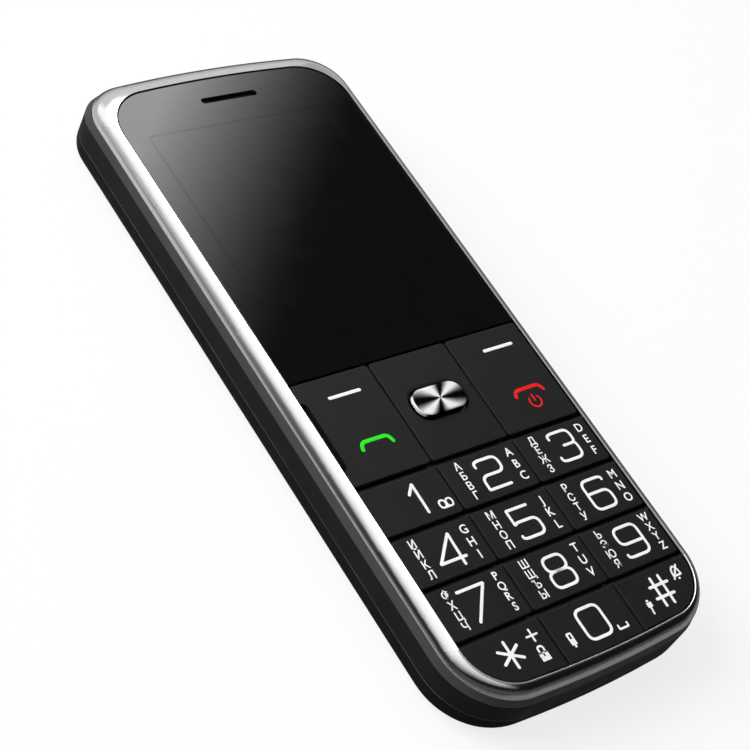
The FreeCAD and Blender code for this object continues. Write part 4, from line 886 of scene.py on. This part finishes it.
@dataclass(frozen=True)
class Numeral:
    """A large number's strokes in their box.

    Attributes:
        x: The left edge.
        y: The lower edge.
        wide: The width.
        tall: The height.
        soft: The rounding of its wide corners.
        tight: The rounding where two of its bows meet.
    """

    x: float
    y: float
    wide: float
    tall: float
    soft: float = 1.35
    tight: float = 0.9

    def edges(self, bar: float) -> tuple[float, ...]:
        """Gives the left, lower, right and upper edge, the bar's height from its share, and the wide rounding."""
        return self.x, self.y, self.x + self.wide, self.y + self.tall, self.y + self.tall * bar, self.soft

    def loop(self, low: float, high: float, inset: float = 0.0) -> Line:
        """Gives a closed loop with wide corners, between two heights."""
        left, right, soft = self.x + inset, self.x + self.wide - inset, self.soft
        return ((left, low, soft), (left, high, soft), (right, high, soft), (right, low, soft), (left, low))

    def two(self) -> Strokes:
        """Gives the stroke of a 2."""
        x, y, right, top, bar, soft = self.edges(0.47)
        return (((x, top - self.tall * 0.24), (x, top, soft), (right, top, soft), (right, bar, soft), (x, bar, soft),
                 (x, y), (right, y)),)

    def three(self) -> Strokes:
        """Gives the strokes of a 3."""
        x, y, right, top, bar, soft = self.edges(0.51)
        return (((x, top - self.tall * 0.22), (x, top, soft), (right, top, soft), (right, bar, self.tight),
                 (x + self.wide * 0.4, bar)),
                ((right - 0.9, bar), (right, bar, self.tight), (right, y, soft), (x, y, soft),
                 (x, y + self.tall * 0.2)))

    def five(self) -> Strokes:
        """Gives the stroke of a 5."""
        x, y, right, top, bar, soft = self.edges(0.56)
        return (((right - 0.3, top), (x, top), (x, bar - 0.3), (x + 0.6, bar, 0.3), (right, bar, soft),
                 (right, y, soft), (x, y, soft), (x, y + self.tall * 0.16)),)

    def six(self) -> Strokes:
        """Gives the stroke of a 6."""
        x, y, right, top, bar, soft = self.edges(0.56)
        return (((right, top - self.tall * 0.16), (right, top, soft), (x, top, soft), (x, y, soft), (right, y, soft),
                 (right, bar, soft), (x, bar)),)

    def eight(self) -> Strokes:
        """Gives the strokes of an 8."""
        _, y, _, top, bar, _ = self.edges(0.52)
        return self.loop(bar, top, self.wide * 0.05), self.loop(y, bar)

    def nine(self) -> Strokes:
        """Gives the stroke of a 9: a 6 turned half round."""
        across, up = 2 * self.x + self.wide, 2 * self.y + self.tall
        return tuple(tuple((across - x, up - y, *rest) for x, y, *rest in line) for line in self.six())

    def zero(self) -> Strokes:
        """Gives the stroke of a 0."""
        return (self.loop(self.y, self.y + self.tall),)


@dataclass(frozen=True)
class Legend:
    """What is printed on one key cap.

    Attributes:
        key: The cap's name, as in key_1.
        sign: The strokes of the large number or sign.
        left: The letters of the left column, from the top down.
        left_place: The middle of that column.
        right: The letters of the right column.
        right_place: The middle of that column.
        marks: Thin strokes of the small marks.
        fills: Filled areas of the small marks: lowest corner, then highest corner.
        bold: The width of the large sign's strokes.
        thin: The width of the small marks' strokes.
        short: The height and the pitch of a column of up to three letters.
        full: The same for four letters.
        narrow: The letters' width, as a share of the font's.
        weight: How much thicker than the font's their strokes are.
        fill: How far a filled area reaches below and above the strokes' middle.
    """

    key: str
    sign: Strokes
    left: str = ""
    left_place: Flat = (0.0, 0.0)
    right: str = ""
    right_place: Flat = (0.0, 0.0)
    marks: Strokes = ()
    fills: tuple[tuple[float, float, float, float], ...] = ()
    bold: float = 0.54
    thin: float = 0.36
    short: Flat = (1.6, 2.4)
    full: Flat = (1.45, 1.93)
    narrow: float = 0.95
    weight: float = 0.07
    fill: Flat = (-0.02, 0.018)

    def build(self, level: float) -> bpy.types.Object:
        """Models the print.

        Args:
            level: The height of the print.

        Returns:
            The print, as one piece.
        """
        parts = [new_strokes(self.sign, self.bold, level)]
        if self.marks:
            parts.append(new_strokes(self.marks, self.thin, level))
        bottom, top = (level + reach for reach in self.fill)
        parts += [new_block((*area[:2], bottom), (*area[2:], top)) for area in self.fills]
        for letters, place in ((self.left, self.left_place), (self.right, self.right_place)):
            if letters:
                size = self.full if len(letters) > 3 else self.short
                parts.append(new_words("\n".join(letters), (*place, level), *size, self.narrow, self.weight))
        return settle(joined(parts), f"legend_{self.key}", Ink.WHITE.make())


LEGENDS: tuple[Legend, ...] = (
    Legend("1", (((-16.35, -27.5), (-14.65, -25.7), (-14.72, -31.4)),),
           marks=(((-12.15, -31.35, 0.7), (-12.15, -29.95, 0.7), (-10.95, -29.95, 0.7), (-10.95, -31.35, 0.7),
                   (-12.15, -31.35, 0.7)),
                  ((-10.75, -31.35, 0.7), (-10.75, -29.95, 0.7), (-9.55, -29.95, 0.7), (-9.55, -31.35, 0.7),
                   (-10.75, -31.35, 0.7)),
                  ((-11.5, -31.35), (-10.2, -31.35)))),
    Legend("2", Numeral(-1.7, -31.2, 4.9, 5.6).two(), "АБВГ", (-4.75, -28.4), "ABC", (6.1, -28.35)),
    Legend("3", Numeral(15.1, -30.95, 4.75, 5.65).three(), "ДЕЖЗ", (11.8, -28.4), "DEF", (22.4, -28.35)),
    Legend("4", (((-14.35, -41.6), (-14.15, -35.6), (-18.5, -40.1), (-13.1, -40.1)),),
           "ИЙКЛ", (-21.1, -38.3), "GHI", (-10.9, -38.35)),
    Legend("5", Numeral(-1.65, -41.2, 4.85, 5.6).five(), "МНОП", (-4.75, -38.3), "JKL", (6.1, -38.35)),
    Legend("6", Numeral(15.05, -41.15, 4.7, 5.75).six(), "РСТУ", (11.8, -38.3), "MNO", (22.4, -38.35)),
    Legend("7", (((-19.35, -45.25), (-13.7, -45.25), (-18.4, -51.2)),),
           "ФХЦЧ", (-21.1, -47.95), "PQRS", (-10.9, -47.95)),
    Legend("8", Numeral(-1.75, -50.95, 4.75, 5.65).eight(), "ШЩЪЫ", (-4.75, -47.95), "TUV", (6.1, -47.95)),
    Legend("9", Numeral(14.65, -50.75, 5.05, 5.6).nine(), "ЬЭЮЯ", (11.8, -47.95), "WXYZ", (22.4, -47.95)),
    Legend("star", (((-16.9, -55.05), (-16.9, -60.15)), ((-19.05, -56.35), (-14.75, -58.85)),
                    ((-19.05, -58.85), (-14.75, -56.35))),
           marks=(((-12.7, -56.05), (-10.2, -56.05)), ((-11.45, -54.85), (-11.45, -57.25)),
                  ((-12.0, -59.2), (-12.0, -58.1, 0.5), (-10.95, -58.1, 0.5), (-10.95, -59.2))),
           fills=((-12.35, -60.65, -10.6, -59.9), (-12.35, -59.95, -11.65, -59.1), (-11.3, -59.95, -10.6, -59.1),
                  (-12.35, -59.35, -10.6, -59.1))),
    Legend("0", Numeral(-2.05, -60.7, 4.9, 5.45).zero(),
           marks=(((-5.7, -59.2), (-5.7, -58.15), (-4.9, -58.15), (-4.9, -59.2)),
                  ((4.15, -59.95), (4.1, -60.8), (6.0, -60.8), (6.05, -59.95))),
           fills=((-5.85, -60.15, -4.75, -59.1), (-5.5, -60.6, -5.1, -60.1))),
    Legend("hash", (((15.5, -54.9), (15.25, -60.6)), ((17.35, -54.9), (17.1, -60.6)), ((14.05, -56.6), (18.65, -56.6)),
                    ((14.0, -58.75), (18.55, -58.75))),
           marks=(((20.2, -56.4), (20.4, -55.2, 0.5), (21.1, -54.6, 0.4), (21.7, -55.2, 0.4), (21.9, -56.4),
                   (20.2, -56.4)),
                  ((19.9, -57.0), (22.1, -54.5)), ((20.8, -57.0), (21.3, -57.0)),
                  ((11.9, -58.35), (12.45, -58.35)), ((12.2, -59.2), (12.0, -60.9))),
           fills=((11.7, -59.55, 12.75, -58.65),)),
)


def bow(middle: Flat, radius: float, first: int, last: int) -> Line:
    """Gives the points of an arc between two angles, which count in degrees from its upper end to the right."""
    turns = [math.radians(angle) for angle in range(first, last + 1, 20)]
    return tuple((middle[0] + radius * math.sin(turn), middle[1] + radius * math.cos(turn)) for turn in turns)


@dataclass(frozen=True)
class Sign:
    """A sign on a function cap.

    Attributes:
        name: What it shows, as in legend_call.
        ink: Its ink.
        body: The body that it rides on.
        parts: The width of the strokes and the strokes, for each of its parts.
    """

    name: str
    ink: Ink
    body: str
    parts: tuple[tuple[float, Strokes], ...]

    def build(self, level: float) -> bpy.types.Object:
        """Models the sign, at the height of the print."""
        parts = [new_strokes(strokes, width, level) for width, strokes in self.parts]
        return settle(joined(parts), f"legend_{self.name}", self.ink.make())


SIGNS: tuple[Sign, ...] = (
    Sign("left_dash", Ink.WHITE, "left_function", ((0.62, (((-19.1, -6.78), (-12.4, -6.78)),)),)),
    Sign("right_dash", Ink.WHITE, "right_function", ((0.62, (((14.6, -6.62), (21.4, -6.62)),)),)),
    Sign("call", Ink.GREEN, "left_function",
         ((0.7, (((-19.0, -17.7), (-18.45, -16.05, 0.9), (-13.05, -16.05, 0.9), (-12.6, -17.7)),)),)),
    Sign("end", Ink.RED, "right_function",
         ((0.7, (((14.65, -17.2), (15.15, -15.75, 0.9), (20.5, -15.65, 0.9), (21.2, -17.1)),)),
          (0.34, (bow((17.93, -18.55), 1.2, 40, 320), ((17.95, -18.6), (17.98, -17.05)))))),
)


@dataclass(frozen=True)
class KeyPrinting:
    """All the printing on the keys.

    Attributes:
        legends: The print of each number key.
        signs: The signs on the function caps.
        proud: How far the middle of a printed stroke stands above the key.
    """

    legends: tuple[Legend, ...] = LEGENDS
    signs: tuple[Sign, ...] = SIGNS
    proud: float = 0.006

    def level(self, key: str) -> float:
        """Gives the height of the print on a key's top, in millimetres."""
        return round(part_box(key)[1][2] / MM, 2) + self.proud

    def build(self) -> None:
        """Prints every key."""
        for legend in self.legends:
            attach(legend.build(self.level("key_5")), f"cap_{legend.key}")
        for sign in self.signs:
            attach(sign.build(self.level("left_function_key")), sign.body)


# Inner fittings


@dataclass(frozen=True)
class BatteryLabel:
    """The battery's paper label, with its ratings and its pole marks.

    Attributes:
        inset: How far the label stays inside the battery's edge.
        thick: The label's thickness.
        corner: The radius of its corners.
        rows: The words, how far right of the middle and how far below the upper edge they stand, and their height.
        frame: How far the printed frame stays inside the sides and lower edge, and inside the upper edge.
        line: The width of that frame's line.
    """

    inset: float = 2.0
    thick: float = 0.03
    corner: float = 1.5
    rows: tuple[tuple[str, float, float, float], ...] = (
        ("3.7 V", 0.0, 9.0, 3.4), ("1050 mAh", 0.0, 15.0, 3.0), ("3.9 Wh", 0.0, 20.5, 2.4),
        ("0 - 45 °C", 0.0, 45.5, 1.8), ("+", 9.0, 4.5, 2.6), ("-", -9.0, 4.5, 2.6))
    frame: Flat = (5.0, 7.0)
    line: float = 0.3

    def build(self) -> None:
        """Models the label and prints it."""
        (left, low, under), (right, high, _) = (tuple(value / MM for value in corner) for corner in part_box("battery"))
        level = under - self.thick
        paper = new_plate((left + self.inset, low + self.inset, level),
                          (right - self.inset, high - self.inset, under + 0.01), self.corner)
        attach(settle(paper, "battery_label", Ink.GREY.make()), "battery_pack")
        rows = [new_words(words, ((left + right) / 2 + across, high - down, level), height, 4.0, below=True)
                for words, across, down, height in self.rows]
        side, top = self.frame
        x, y, far_x, far_y = left + side, low + side, right - side, high - top
        frame = new_strokes((((x, y, 1.0), (x, far_y, 1.0), (far_x, far_y, 1.0), (far_x, y, 1.0), (x, y)),),
                            self.line, level)
        attach(settle(joined([*rows, frame]), "battery_ratings", Ink.BLACK.make()), "battery_pack")


@dataclass(frozen=True)
class ScrewRecessShades:
    """Black crosses of painted shade that stand for the cross recesses in the heads of the housing screws.

    Attributes:
        head: The radius of a screw's head.
        arm: Half the length of one arm.
        width: The width of one arm.
        deep: How far a black cross reaches below and above the head's outer face.
    """

    head: float = 1.3
    arm: float = 0.72
    width: float = 0.34
    deep: Flat = (-0.012, 0.05)

    def build(self) -> None:
        """Models one black cross of painted shade and copies it to every head."""
        low, high = (tuple(value / MM for value in corner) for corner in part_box("housing_screws"))
        bottom, top = (low[2] + deep for deep in self.deep)
        arms = [new_block((-x, -y, bottom), (x, y, top))
                for x, y in ((self.arm, self.width / 2), (self.width / 2, self.arm))]
        # Painted shade: a black cross where the recess would be.
        cross = settle(joined(arms), "screw_recess_shade_1", Ink.BLACK.make())
        places = [(x, y) for x in (low[0] + self.head, high[0] - self.head)
                  for y in (low[1] + self.head, (low[1] + high[1]) / 2, high[1] - self.head)]
        for number, (x, y) in enumerate(places, 1):
            copy = cross if number == len(places) else cross.copy()
            if copy is not cross:
                copy.data = cross.data.copy()
                bpy.context.scene.collection.objects.link(copy)
            copy.location = (x * MM, y * MM, 0.0)
            settle(copy, f"screw_recess_shade_{number}", Ink.BLACK.make())
            attach(copy, "phone")


# Studio


@dataclass(frozen=True)
class Lamp:
    """A soft square lamp that points at the phone.

    Attributes:
        name: The lamp's name.
        place: Where it stands, in metres.
        side: The length of its side, in metres.
        power: Its power in watts.
    """

    name: str
    place: Colour
    side: float
    power: float

    def build(self) -> None:
        """Adds the lamp."""
        light = bpy.data.lights.new(self.name, "AREA")
        light.size = self.side
        light.energy = self.power
        lamp = bpy.data.objects.new(self.name, light)
        lamp.location = self.place
        lamp.rotation_euler = Vector(self.place).to_track_quat("Z", "Y").to_euler()
        lamp.visible_glossy = False
        bpy.context.scene.collection.objects.link(lamp)


@dataclass(frozen=True)
class Ramp:
    """A soft step from one value to another.

    Attributes:
        low: Where it starts.
        high: Where it ends.
        before: The value before it.
        after: The value after it.
        power: How late it rises.
    """

    low: float
    high: float
    before: float = 0.0
    after: float = 1.0
    power: float = 1.0

    def over(self, graph: Graph, value: Socket) -> Socket:
        """Gives the step along a value."""
        step = graph.span(value, self.low, self.high, self.before, self.after)
        return step if self.power == 1.0 else graph.power(step, self.power)


@dataclass(frozen=True)
class Card:
    """A glowing studio card that only reflections show.

    Attributes:
        name: The card's name.
    """

    name: str = "card"

    def add_sheet(self) -> None:
        """Adds the card's mesh and leaves it active."""
        raise NotImplementedError

    def glow(self, graph: Graph) -> Socket:
        """Gives the brightness over the card."""
        raise NotImplementedError

    def build(self) -> None:
        """Adds the card."""
        self.add_sheet()
        card = bpy.context.object
        bpy.ops.object.transform_apply()
        card.name = self.name
        graph = Graph(bpy.data.materials.new(self.name))
        card.data.materials.append(graph.finish({"Strength": self.glow(graph)}, "ShaderNodeEmission"))
        card.visible_camera = card.visible_diffuse = card.visible_transmission = card.visible_shadow = False


@dataclass(frozen=True)
class OverheadCard(Card):
    """A graded card over the phone: dark to the right and bright to the left, for the window and the ring.

    Lengths are in metres, x and y are the card's, and every ramp gives a brightness or a share of one.

    Attributes:
        name: The card's name.
        height: Its height over the table.
        low: Its lowest corner.
        high: Its highest corner.
        dark: The dark part, along y.
        sheen: The window's sheen: its rise from x to y, its brightness along y, and its left edge along x.
        right: The light for the ring's right end: its rise along x, and its brightness along y.
        axis: The middle of the light for the ring's left side, in x.
        widening: How that light's edge widens along y.
        across: Its brightness across that edge.
        fading: How it fades along y.
        rising: How it rises along x.
        nearest: The x that slants are measured from.
        slant: The rise of the far left light, by its slant.
        far: That light's brightness, along x.
        front: The faint light in front, along y.
    """

    name: str = "overhead_card"
    height: float = 0.6
    low: Flat = (-3.5, -3.5)
    high: Flat = (3.0, 2.0)
    dark: Ramp = Ramp(-0.4, 0.0, 0.006, 0.015)
    sheen: tuple[Ramp, Ramp, Ramp] = (Ramp(-0.09, 0.09, power=2.2), Ramp(0.6, 0.8, 5.6, 0.6), Ramp(-0.05, 0.08))
    right: tuple[Ramp, Ramp] = (Ramp(0.68, 0.9), Ramp(0.0, 0.3, 0.0, 0.4))
    axis: float = 0.17
    widening: Ramp = Ramp(0.4, 2.0, 1.0, 9.0)
    across: Ramp = Ramp(0.05, -0.05, 0.0, 1.1)
    fading: Ramp = Ramp(-0.75, 0.15, power=1.3)
    rising: Ramp = Ramp(-1.9, -0.25, power=1.5)
    nearest: float = -0.5
    slant: Ramp = Ramp(-0.24, -0.64, power=1.5)
    far: Ramp = Ramp(-0.3, -0.7, 0.0, 0.5)
    front: Ramp = Ramp(-0.7, -2.5, 0.0, 0.06)

    def add_sheet(self) -> None:
        """Adds the card's mesh and leaves it active."""
        middle = [(a + b) / 2 for a, b in zip(self.low, self.high)]
        bpy.ops.mesh.primitive_plane_add(size=1.0, location=(*middle, self.height))
        bpy.context.object.scale = (*(b - a for a, b in zip(self.low, self.high)), 1.0)

    def glow(self, graph: Graph) -> Socket:
        """Gives the brightness over the card.

        Args:
            graph: The material's graph.

        Returns:
            The brightness.
        """
        x, y, _ = graph.split(graph.place)
        rise, along, edge = self.sheen
        sheen = graph.times(rise.over(graph, graph.sum("SUBTRACT", y, x)), along.over(graph, y))
        total = graph.sum("ADD", graph.times(sheen, edge.over(graph, x)), self.dark.over(graph, y))
        off_axis = graph.sum("DIVIDE", graph.sum("SUBTRACT", x, self.axis), self.widening.over(graph, y))
        left = graph.times(self.across.over(graph, off_axis),
                           graph.times(self.fading.over(graph, y), self.rising.over(graph, x)))
        right = graph.times(self.right[0].over(graph, x), self.right[1].over(graph, y))
        slant = self.slant.over(graph, graph.sum("DIVIDE", y, graph.sum("MINIMUM", x, self.nearest)))
        for part in (left, right, graph.times(slant, self.far.over(graph, x)), self.front.over(graph, y)):
            total = graph.sum("MAXIMUM", total, part)
        return total


@dataclass(frozen=True)
class HorizonCard(Card):
    """A low dark band round the table, which draws the thin stripe in the ring.

    Attributes:
        name: The band's name.
        radius: Its radius in metres.
        high: Its height in metres.
        back: The light of its back, along y, and the share of it that is used.
        front: The light of its front, along y.
        upper: The light of its upper part: its rise along z, and its share along y.
    """

    name: str = "horizon_card"
    radius: float = 2.5
    high: float = 1.15
    back: tuple[Ramp, float] = (Ramp(0.6, 1.6, power=1.5), 0.5)
    front: Ramp = Ramp(0.3, -1.0, 0.02, 0.065)
    upper: tuple[Ramp, Ramp] = (Ramp(0.55, 1.15, power=1.5), Ramp(-0.6, 0.3))

    def add_sheet(self) -> None:
        """Adds the band's mesh and leaves it active."""
        bpy.ops.mesh.primitive_cylinder_add(vertices=96, radius=self.radius, depth=self.high,
                                            location=(0.0, 0.0, self.high / 2), end_fill_type="NOTHING")

    def glow(self, graph: Graph) -> Socket:
        """Gives the brightness over the band.

        Args:
            graph: The material's graph.

        Returns:
            The brightness.
        """
        _, y, z = graph.split(graph.place)
        back = graph.times(self.back[0].over(graph, y), self.back[1])
        upper = graph.times(self.upper[0].over(graph, z), self.upper[1].over(graph, y))
        return graph.sum("ADD", graph.sum("MAXIMUM", back, self.front.over(graph, y)), upper)


@dataclass(frozen=True)
class TableCard(Card):
    """A grey sheet on the table round the phone, which the outer slope of the ring reflects.

    Attributes:
        name: The sheet's name.
        reach: How far it goes, in metres.
        phone: Half the phone's width and length, in metres.
        slant: The rise of its far left light, by its slant.
        far: That light's greatest and least brightness.
        near: The brightness to the left of the phone, along y.
        leaving: How that goes over into the far light, away from the phone.
        front: The brightness in front of the phone, away from it.
        behind: The brightness behind the phone, away from it.
        to_front: Where behind goes over into front, along y.
        to_left: Where both go over into left, along x.
    """

    name: str = "table_card"
    reach: float = 2.4
    phone: Flat = (0.0275, 0.0665)
    slant: Ramp = Ramp(0.25, 0.65, power=1.5)
    far: Flat = (0.5, 0.02)
    near: Ramp = Ramp(-0.06, 0.09, 0.12, 0.6)
    leaving: Ramp = Ramp(0.02, 0.16)
    front: Ramp = Ramp(0.015, 0.3, 0.19, 0.07)
    behind: Ramp = Ramp(0.02, 0.6, 0.08, 0.5)
    to_front: Ramp = Ramp(-0.055, -0.075)
    to_left: Ramp = Ramp(-0.015, -0.035)

    def add_sheet(self) -> None:
        """Adds the sheet's mesh and leaves it active."""
        bpy.ops.mesh.primitive_plane_add(size=2.0 * self.reach, location=(0.0, 0.0, MM / 2))

    def glow(self, graph: Graph) -> Socket:
        """Gives the brightness over the sheet.

        Args:
            graph: The material's graph.

        Returns:
            The brightness.
        """
        x, y, _ = graph.split(graph.place)
        away = graph.sum("MAXIMUM", *graph.past(graph.place, self.phone))
        slant = self.slant.over(graph, graph.sum("DIVIDE", y, graph.sum("ADD", away, self.phone[0])))
        far = graph.sum("MAXIMUM", graph.times(slant, self.far[0]), self.far[1])
        left = graph.between(self.leaving.over(graph, away), self.near.over(graph, y), far)
        rest = graph.between(self.to_front.over(graph, y), self.behind.over(graph, away), self.front.over(graph, away))
        return graph.between(self.to_left.over(graph, x), rest, left)


@dataclass(frozen=True)
class Studio:
    """The pale floor, the soft light and the camera.

    Attributes:
        floor_side: The floor's side, in metres.
        floor_colour: The floor's colour.
        floor_glow: The light that comes through the floor's paper.
        floor_gap: How far the paper lies below the phone's back, in metres.
        floor_grain: The size and the depth of the paper's grain, in millimetres.
        window: Half the width and length of the clear part of the floor that the phone covers.
        soft: The width of that part's soft edge, in metres.
        fill: The strength of the even light from all round.
        lens: The camera's focal length in millimetres.
        eye: Where the camera stands, in metres.
        right: The direction to the picture's right.
        up: The direction to the picture's top.
        back: The direction from the object to the camera.
        lamps: The soft lamps.
    """

    floor_side: float = 8.0
    floor_colour: Colour = (0.18, 0.18, 0.18)
    floor_glow: float = 0.81
    floor_gap: float = 0.00002
    floor_grain: Flat = (0.6, 0.02)
    window: Flat = (0.0245, 0.0615)
    soft: float = 0.008
    fill: float = 0.12
    lens: float = 89.7
    eye: Colour = (-0.18915, -0.12243, 0.2313)
    right: Colour = (0.7745216, -0.5179788, 0.3630623)
    up: Colour = (0.2297368, 0.7651253, 0.6015017)
    back: Colour = (-0.5893533, -0.3824673, 0.7116049)
    lamps: tuple[Lamp, ...] = (
        Lamp("lamp_left", (-0.9, 0.75, 0.8), 1.0, 28.0),
        Lamp("lamp_top", (-0.1, 0.6, 1.2), 1.2, 5.5),
        Lamp("lamp_below", (0.6, -0.4, -0.9), 0.8, 30.0),
    )

    def lay_floor(self) -> None:
        """Lays the pale floor, clear from below and under the phone so that its back can be looked at."""
        bpy.ops.mesh.primitive_plane_add(size=self.floor_side, location=(0.0, 0.0, -self.floor_gap))
        floor = bpy.context.object
        bpy.ops.object.transform_apply()
        floor.name = "floor"
        graph = Graph(bpy.data.materials.new("floor_paper"))
        dimmed = tuple(0.99 * part for part in self.floor_colour)
        colour = graph.mixed(graph.span(graph.noise(25.0, 3.0), 0.3, 0.7), self.floor_colour, dimmed)
        graph.finish({
            "Base Color": colour, "Roughness": 0.9, "Specular IOR Level": 0.0,
            "Emission Color": (1.0, 1.0, 1.0), "Emission Strength": self.floor_glow,
            "Normal": graph.bump(graph.noise(self.floor_grain[0]), self.floor_grain[1])})
        shader = graph.output.inputs["Surface"].links[0].from_socket
        clear = graph.node("ShaderNodeBsdfTransparent").outputs[0]
        behind = graph.node("ShaderNodeNewGeometry").outputs["Backfacing"]
        within = [graph.span(graph.sum("ABSOLUTE", part), half - self.soft, half, 1.0, 0.0)
                  for part, half in zip(graph.split(graph.place), self.window)]
        open_part = graph.sum("MAXIMUM", behind, graph.times(*within))
        graph.finish({0: open_part, 1: shader, 2: clear}, "ShaderNodeMixShader")
        floor.data.materials.append(graph.owner)

    def light(self) -> None:
        """Sets the even light: white where it is seen, reflected or seen through, and softer as light."""
        world = bpy.data.worlds.new("studio")
        bpy.context.scene.world = world
        graph = Graph(world, "ShaderNodeOutputWorld")
        rays = graph.node("ShaderNodeLightPath").outputs
        seen = rays["Is Camera Ray"]
        for other in ("Is Glossy Ray", "Is Transmission Ray"):
            seen = graph.sum("MAXIMUM", seen, rays[other])
        soft, white = (graph.node("ShaderNodeBackground", {"Color": (1.0, 1.0, 1.0), "Strength": strength}).outputs[0]
                       for strength in (self.fill, 1.0))
        graph.finish({0: seen, 1: soft, 2: white}, "ShaderNodeMixShader")
        for lamp in self.lamps:
            lamp.build()

    def set_camera(self) -> None:
        """Stands the camera at its place."""
        camera = bpy.data.objects.new("camera", bpy.data.cameras.new("camera"))
        camera.data.lens = self.lens
        camera.data.clip_start = 0.01
        columns = (*(Vector(axis).normalized() for axis in (self.right, self.up, self.back)), Vector(self.eye))
        camera.matrix_world = Matrix([(*(column[row] for column in columns),) for row in range(3)]).to_4x4()
        bpy.context.scene.collection.objects.link(camera)
        bpy.context.scene.camera = camera

    def build(self) -> None:
        """Builds the whole studio."""
        self.lay_floor()
        for card in (OverheadCard(), HorizonCard(), TableCard()):
            card.build()
        self.light()
        self.set_camera()
        bpy.context.scene.view_settings.view_transform = "Standard"


# Order of work


def dress_solids(nodes: dict[str, bpy.types.Object]) -> None:
    """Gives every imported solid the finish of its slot.

    Args:
        nodes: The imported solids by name.
    """
    made = {finish.name: finish.make() for finish in FINISHES}
    for name, solid in nodes.items():
        for slot in solid.material_slots:
            slot.material = made[slot.material.name.split(".")[0]]
        LOG.info("dressed %s", name)


def main() -> None:
    """Builds the sub-assemblies in order."""
    logging.basicConfig(level=logging.INFO, format="%(message)s")
    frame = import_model()
    bpy.ops.object.select_all(action="DESELECT")
    dress_solids(frame["nodes"])
    for assembly in (RingEdges(), KeyPrinting(), BatteryLabel(), ScrewRecessShades(), Studio()):
        assembly.build()


if __name__ == "__main__":
    main()
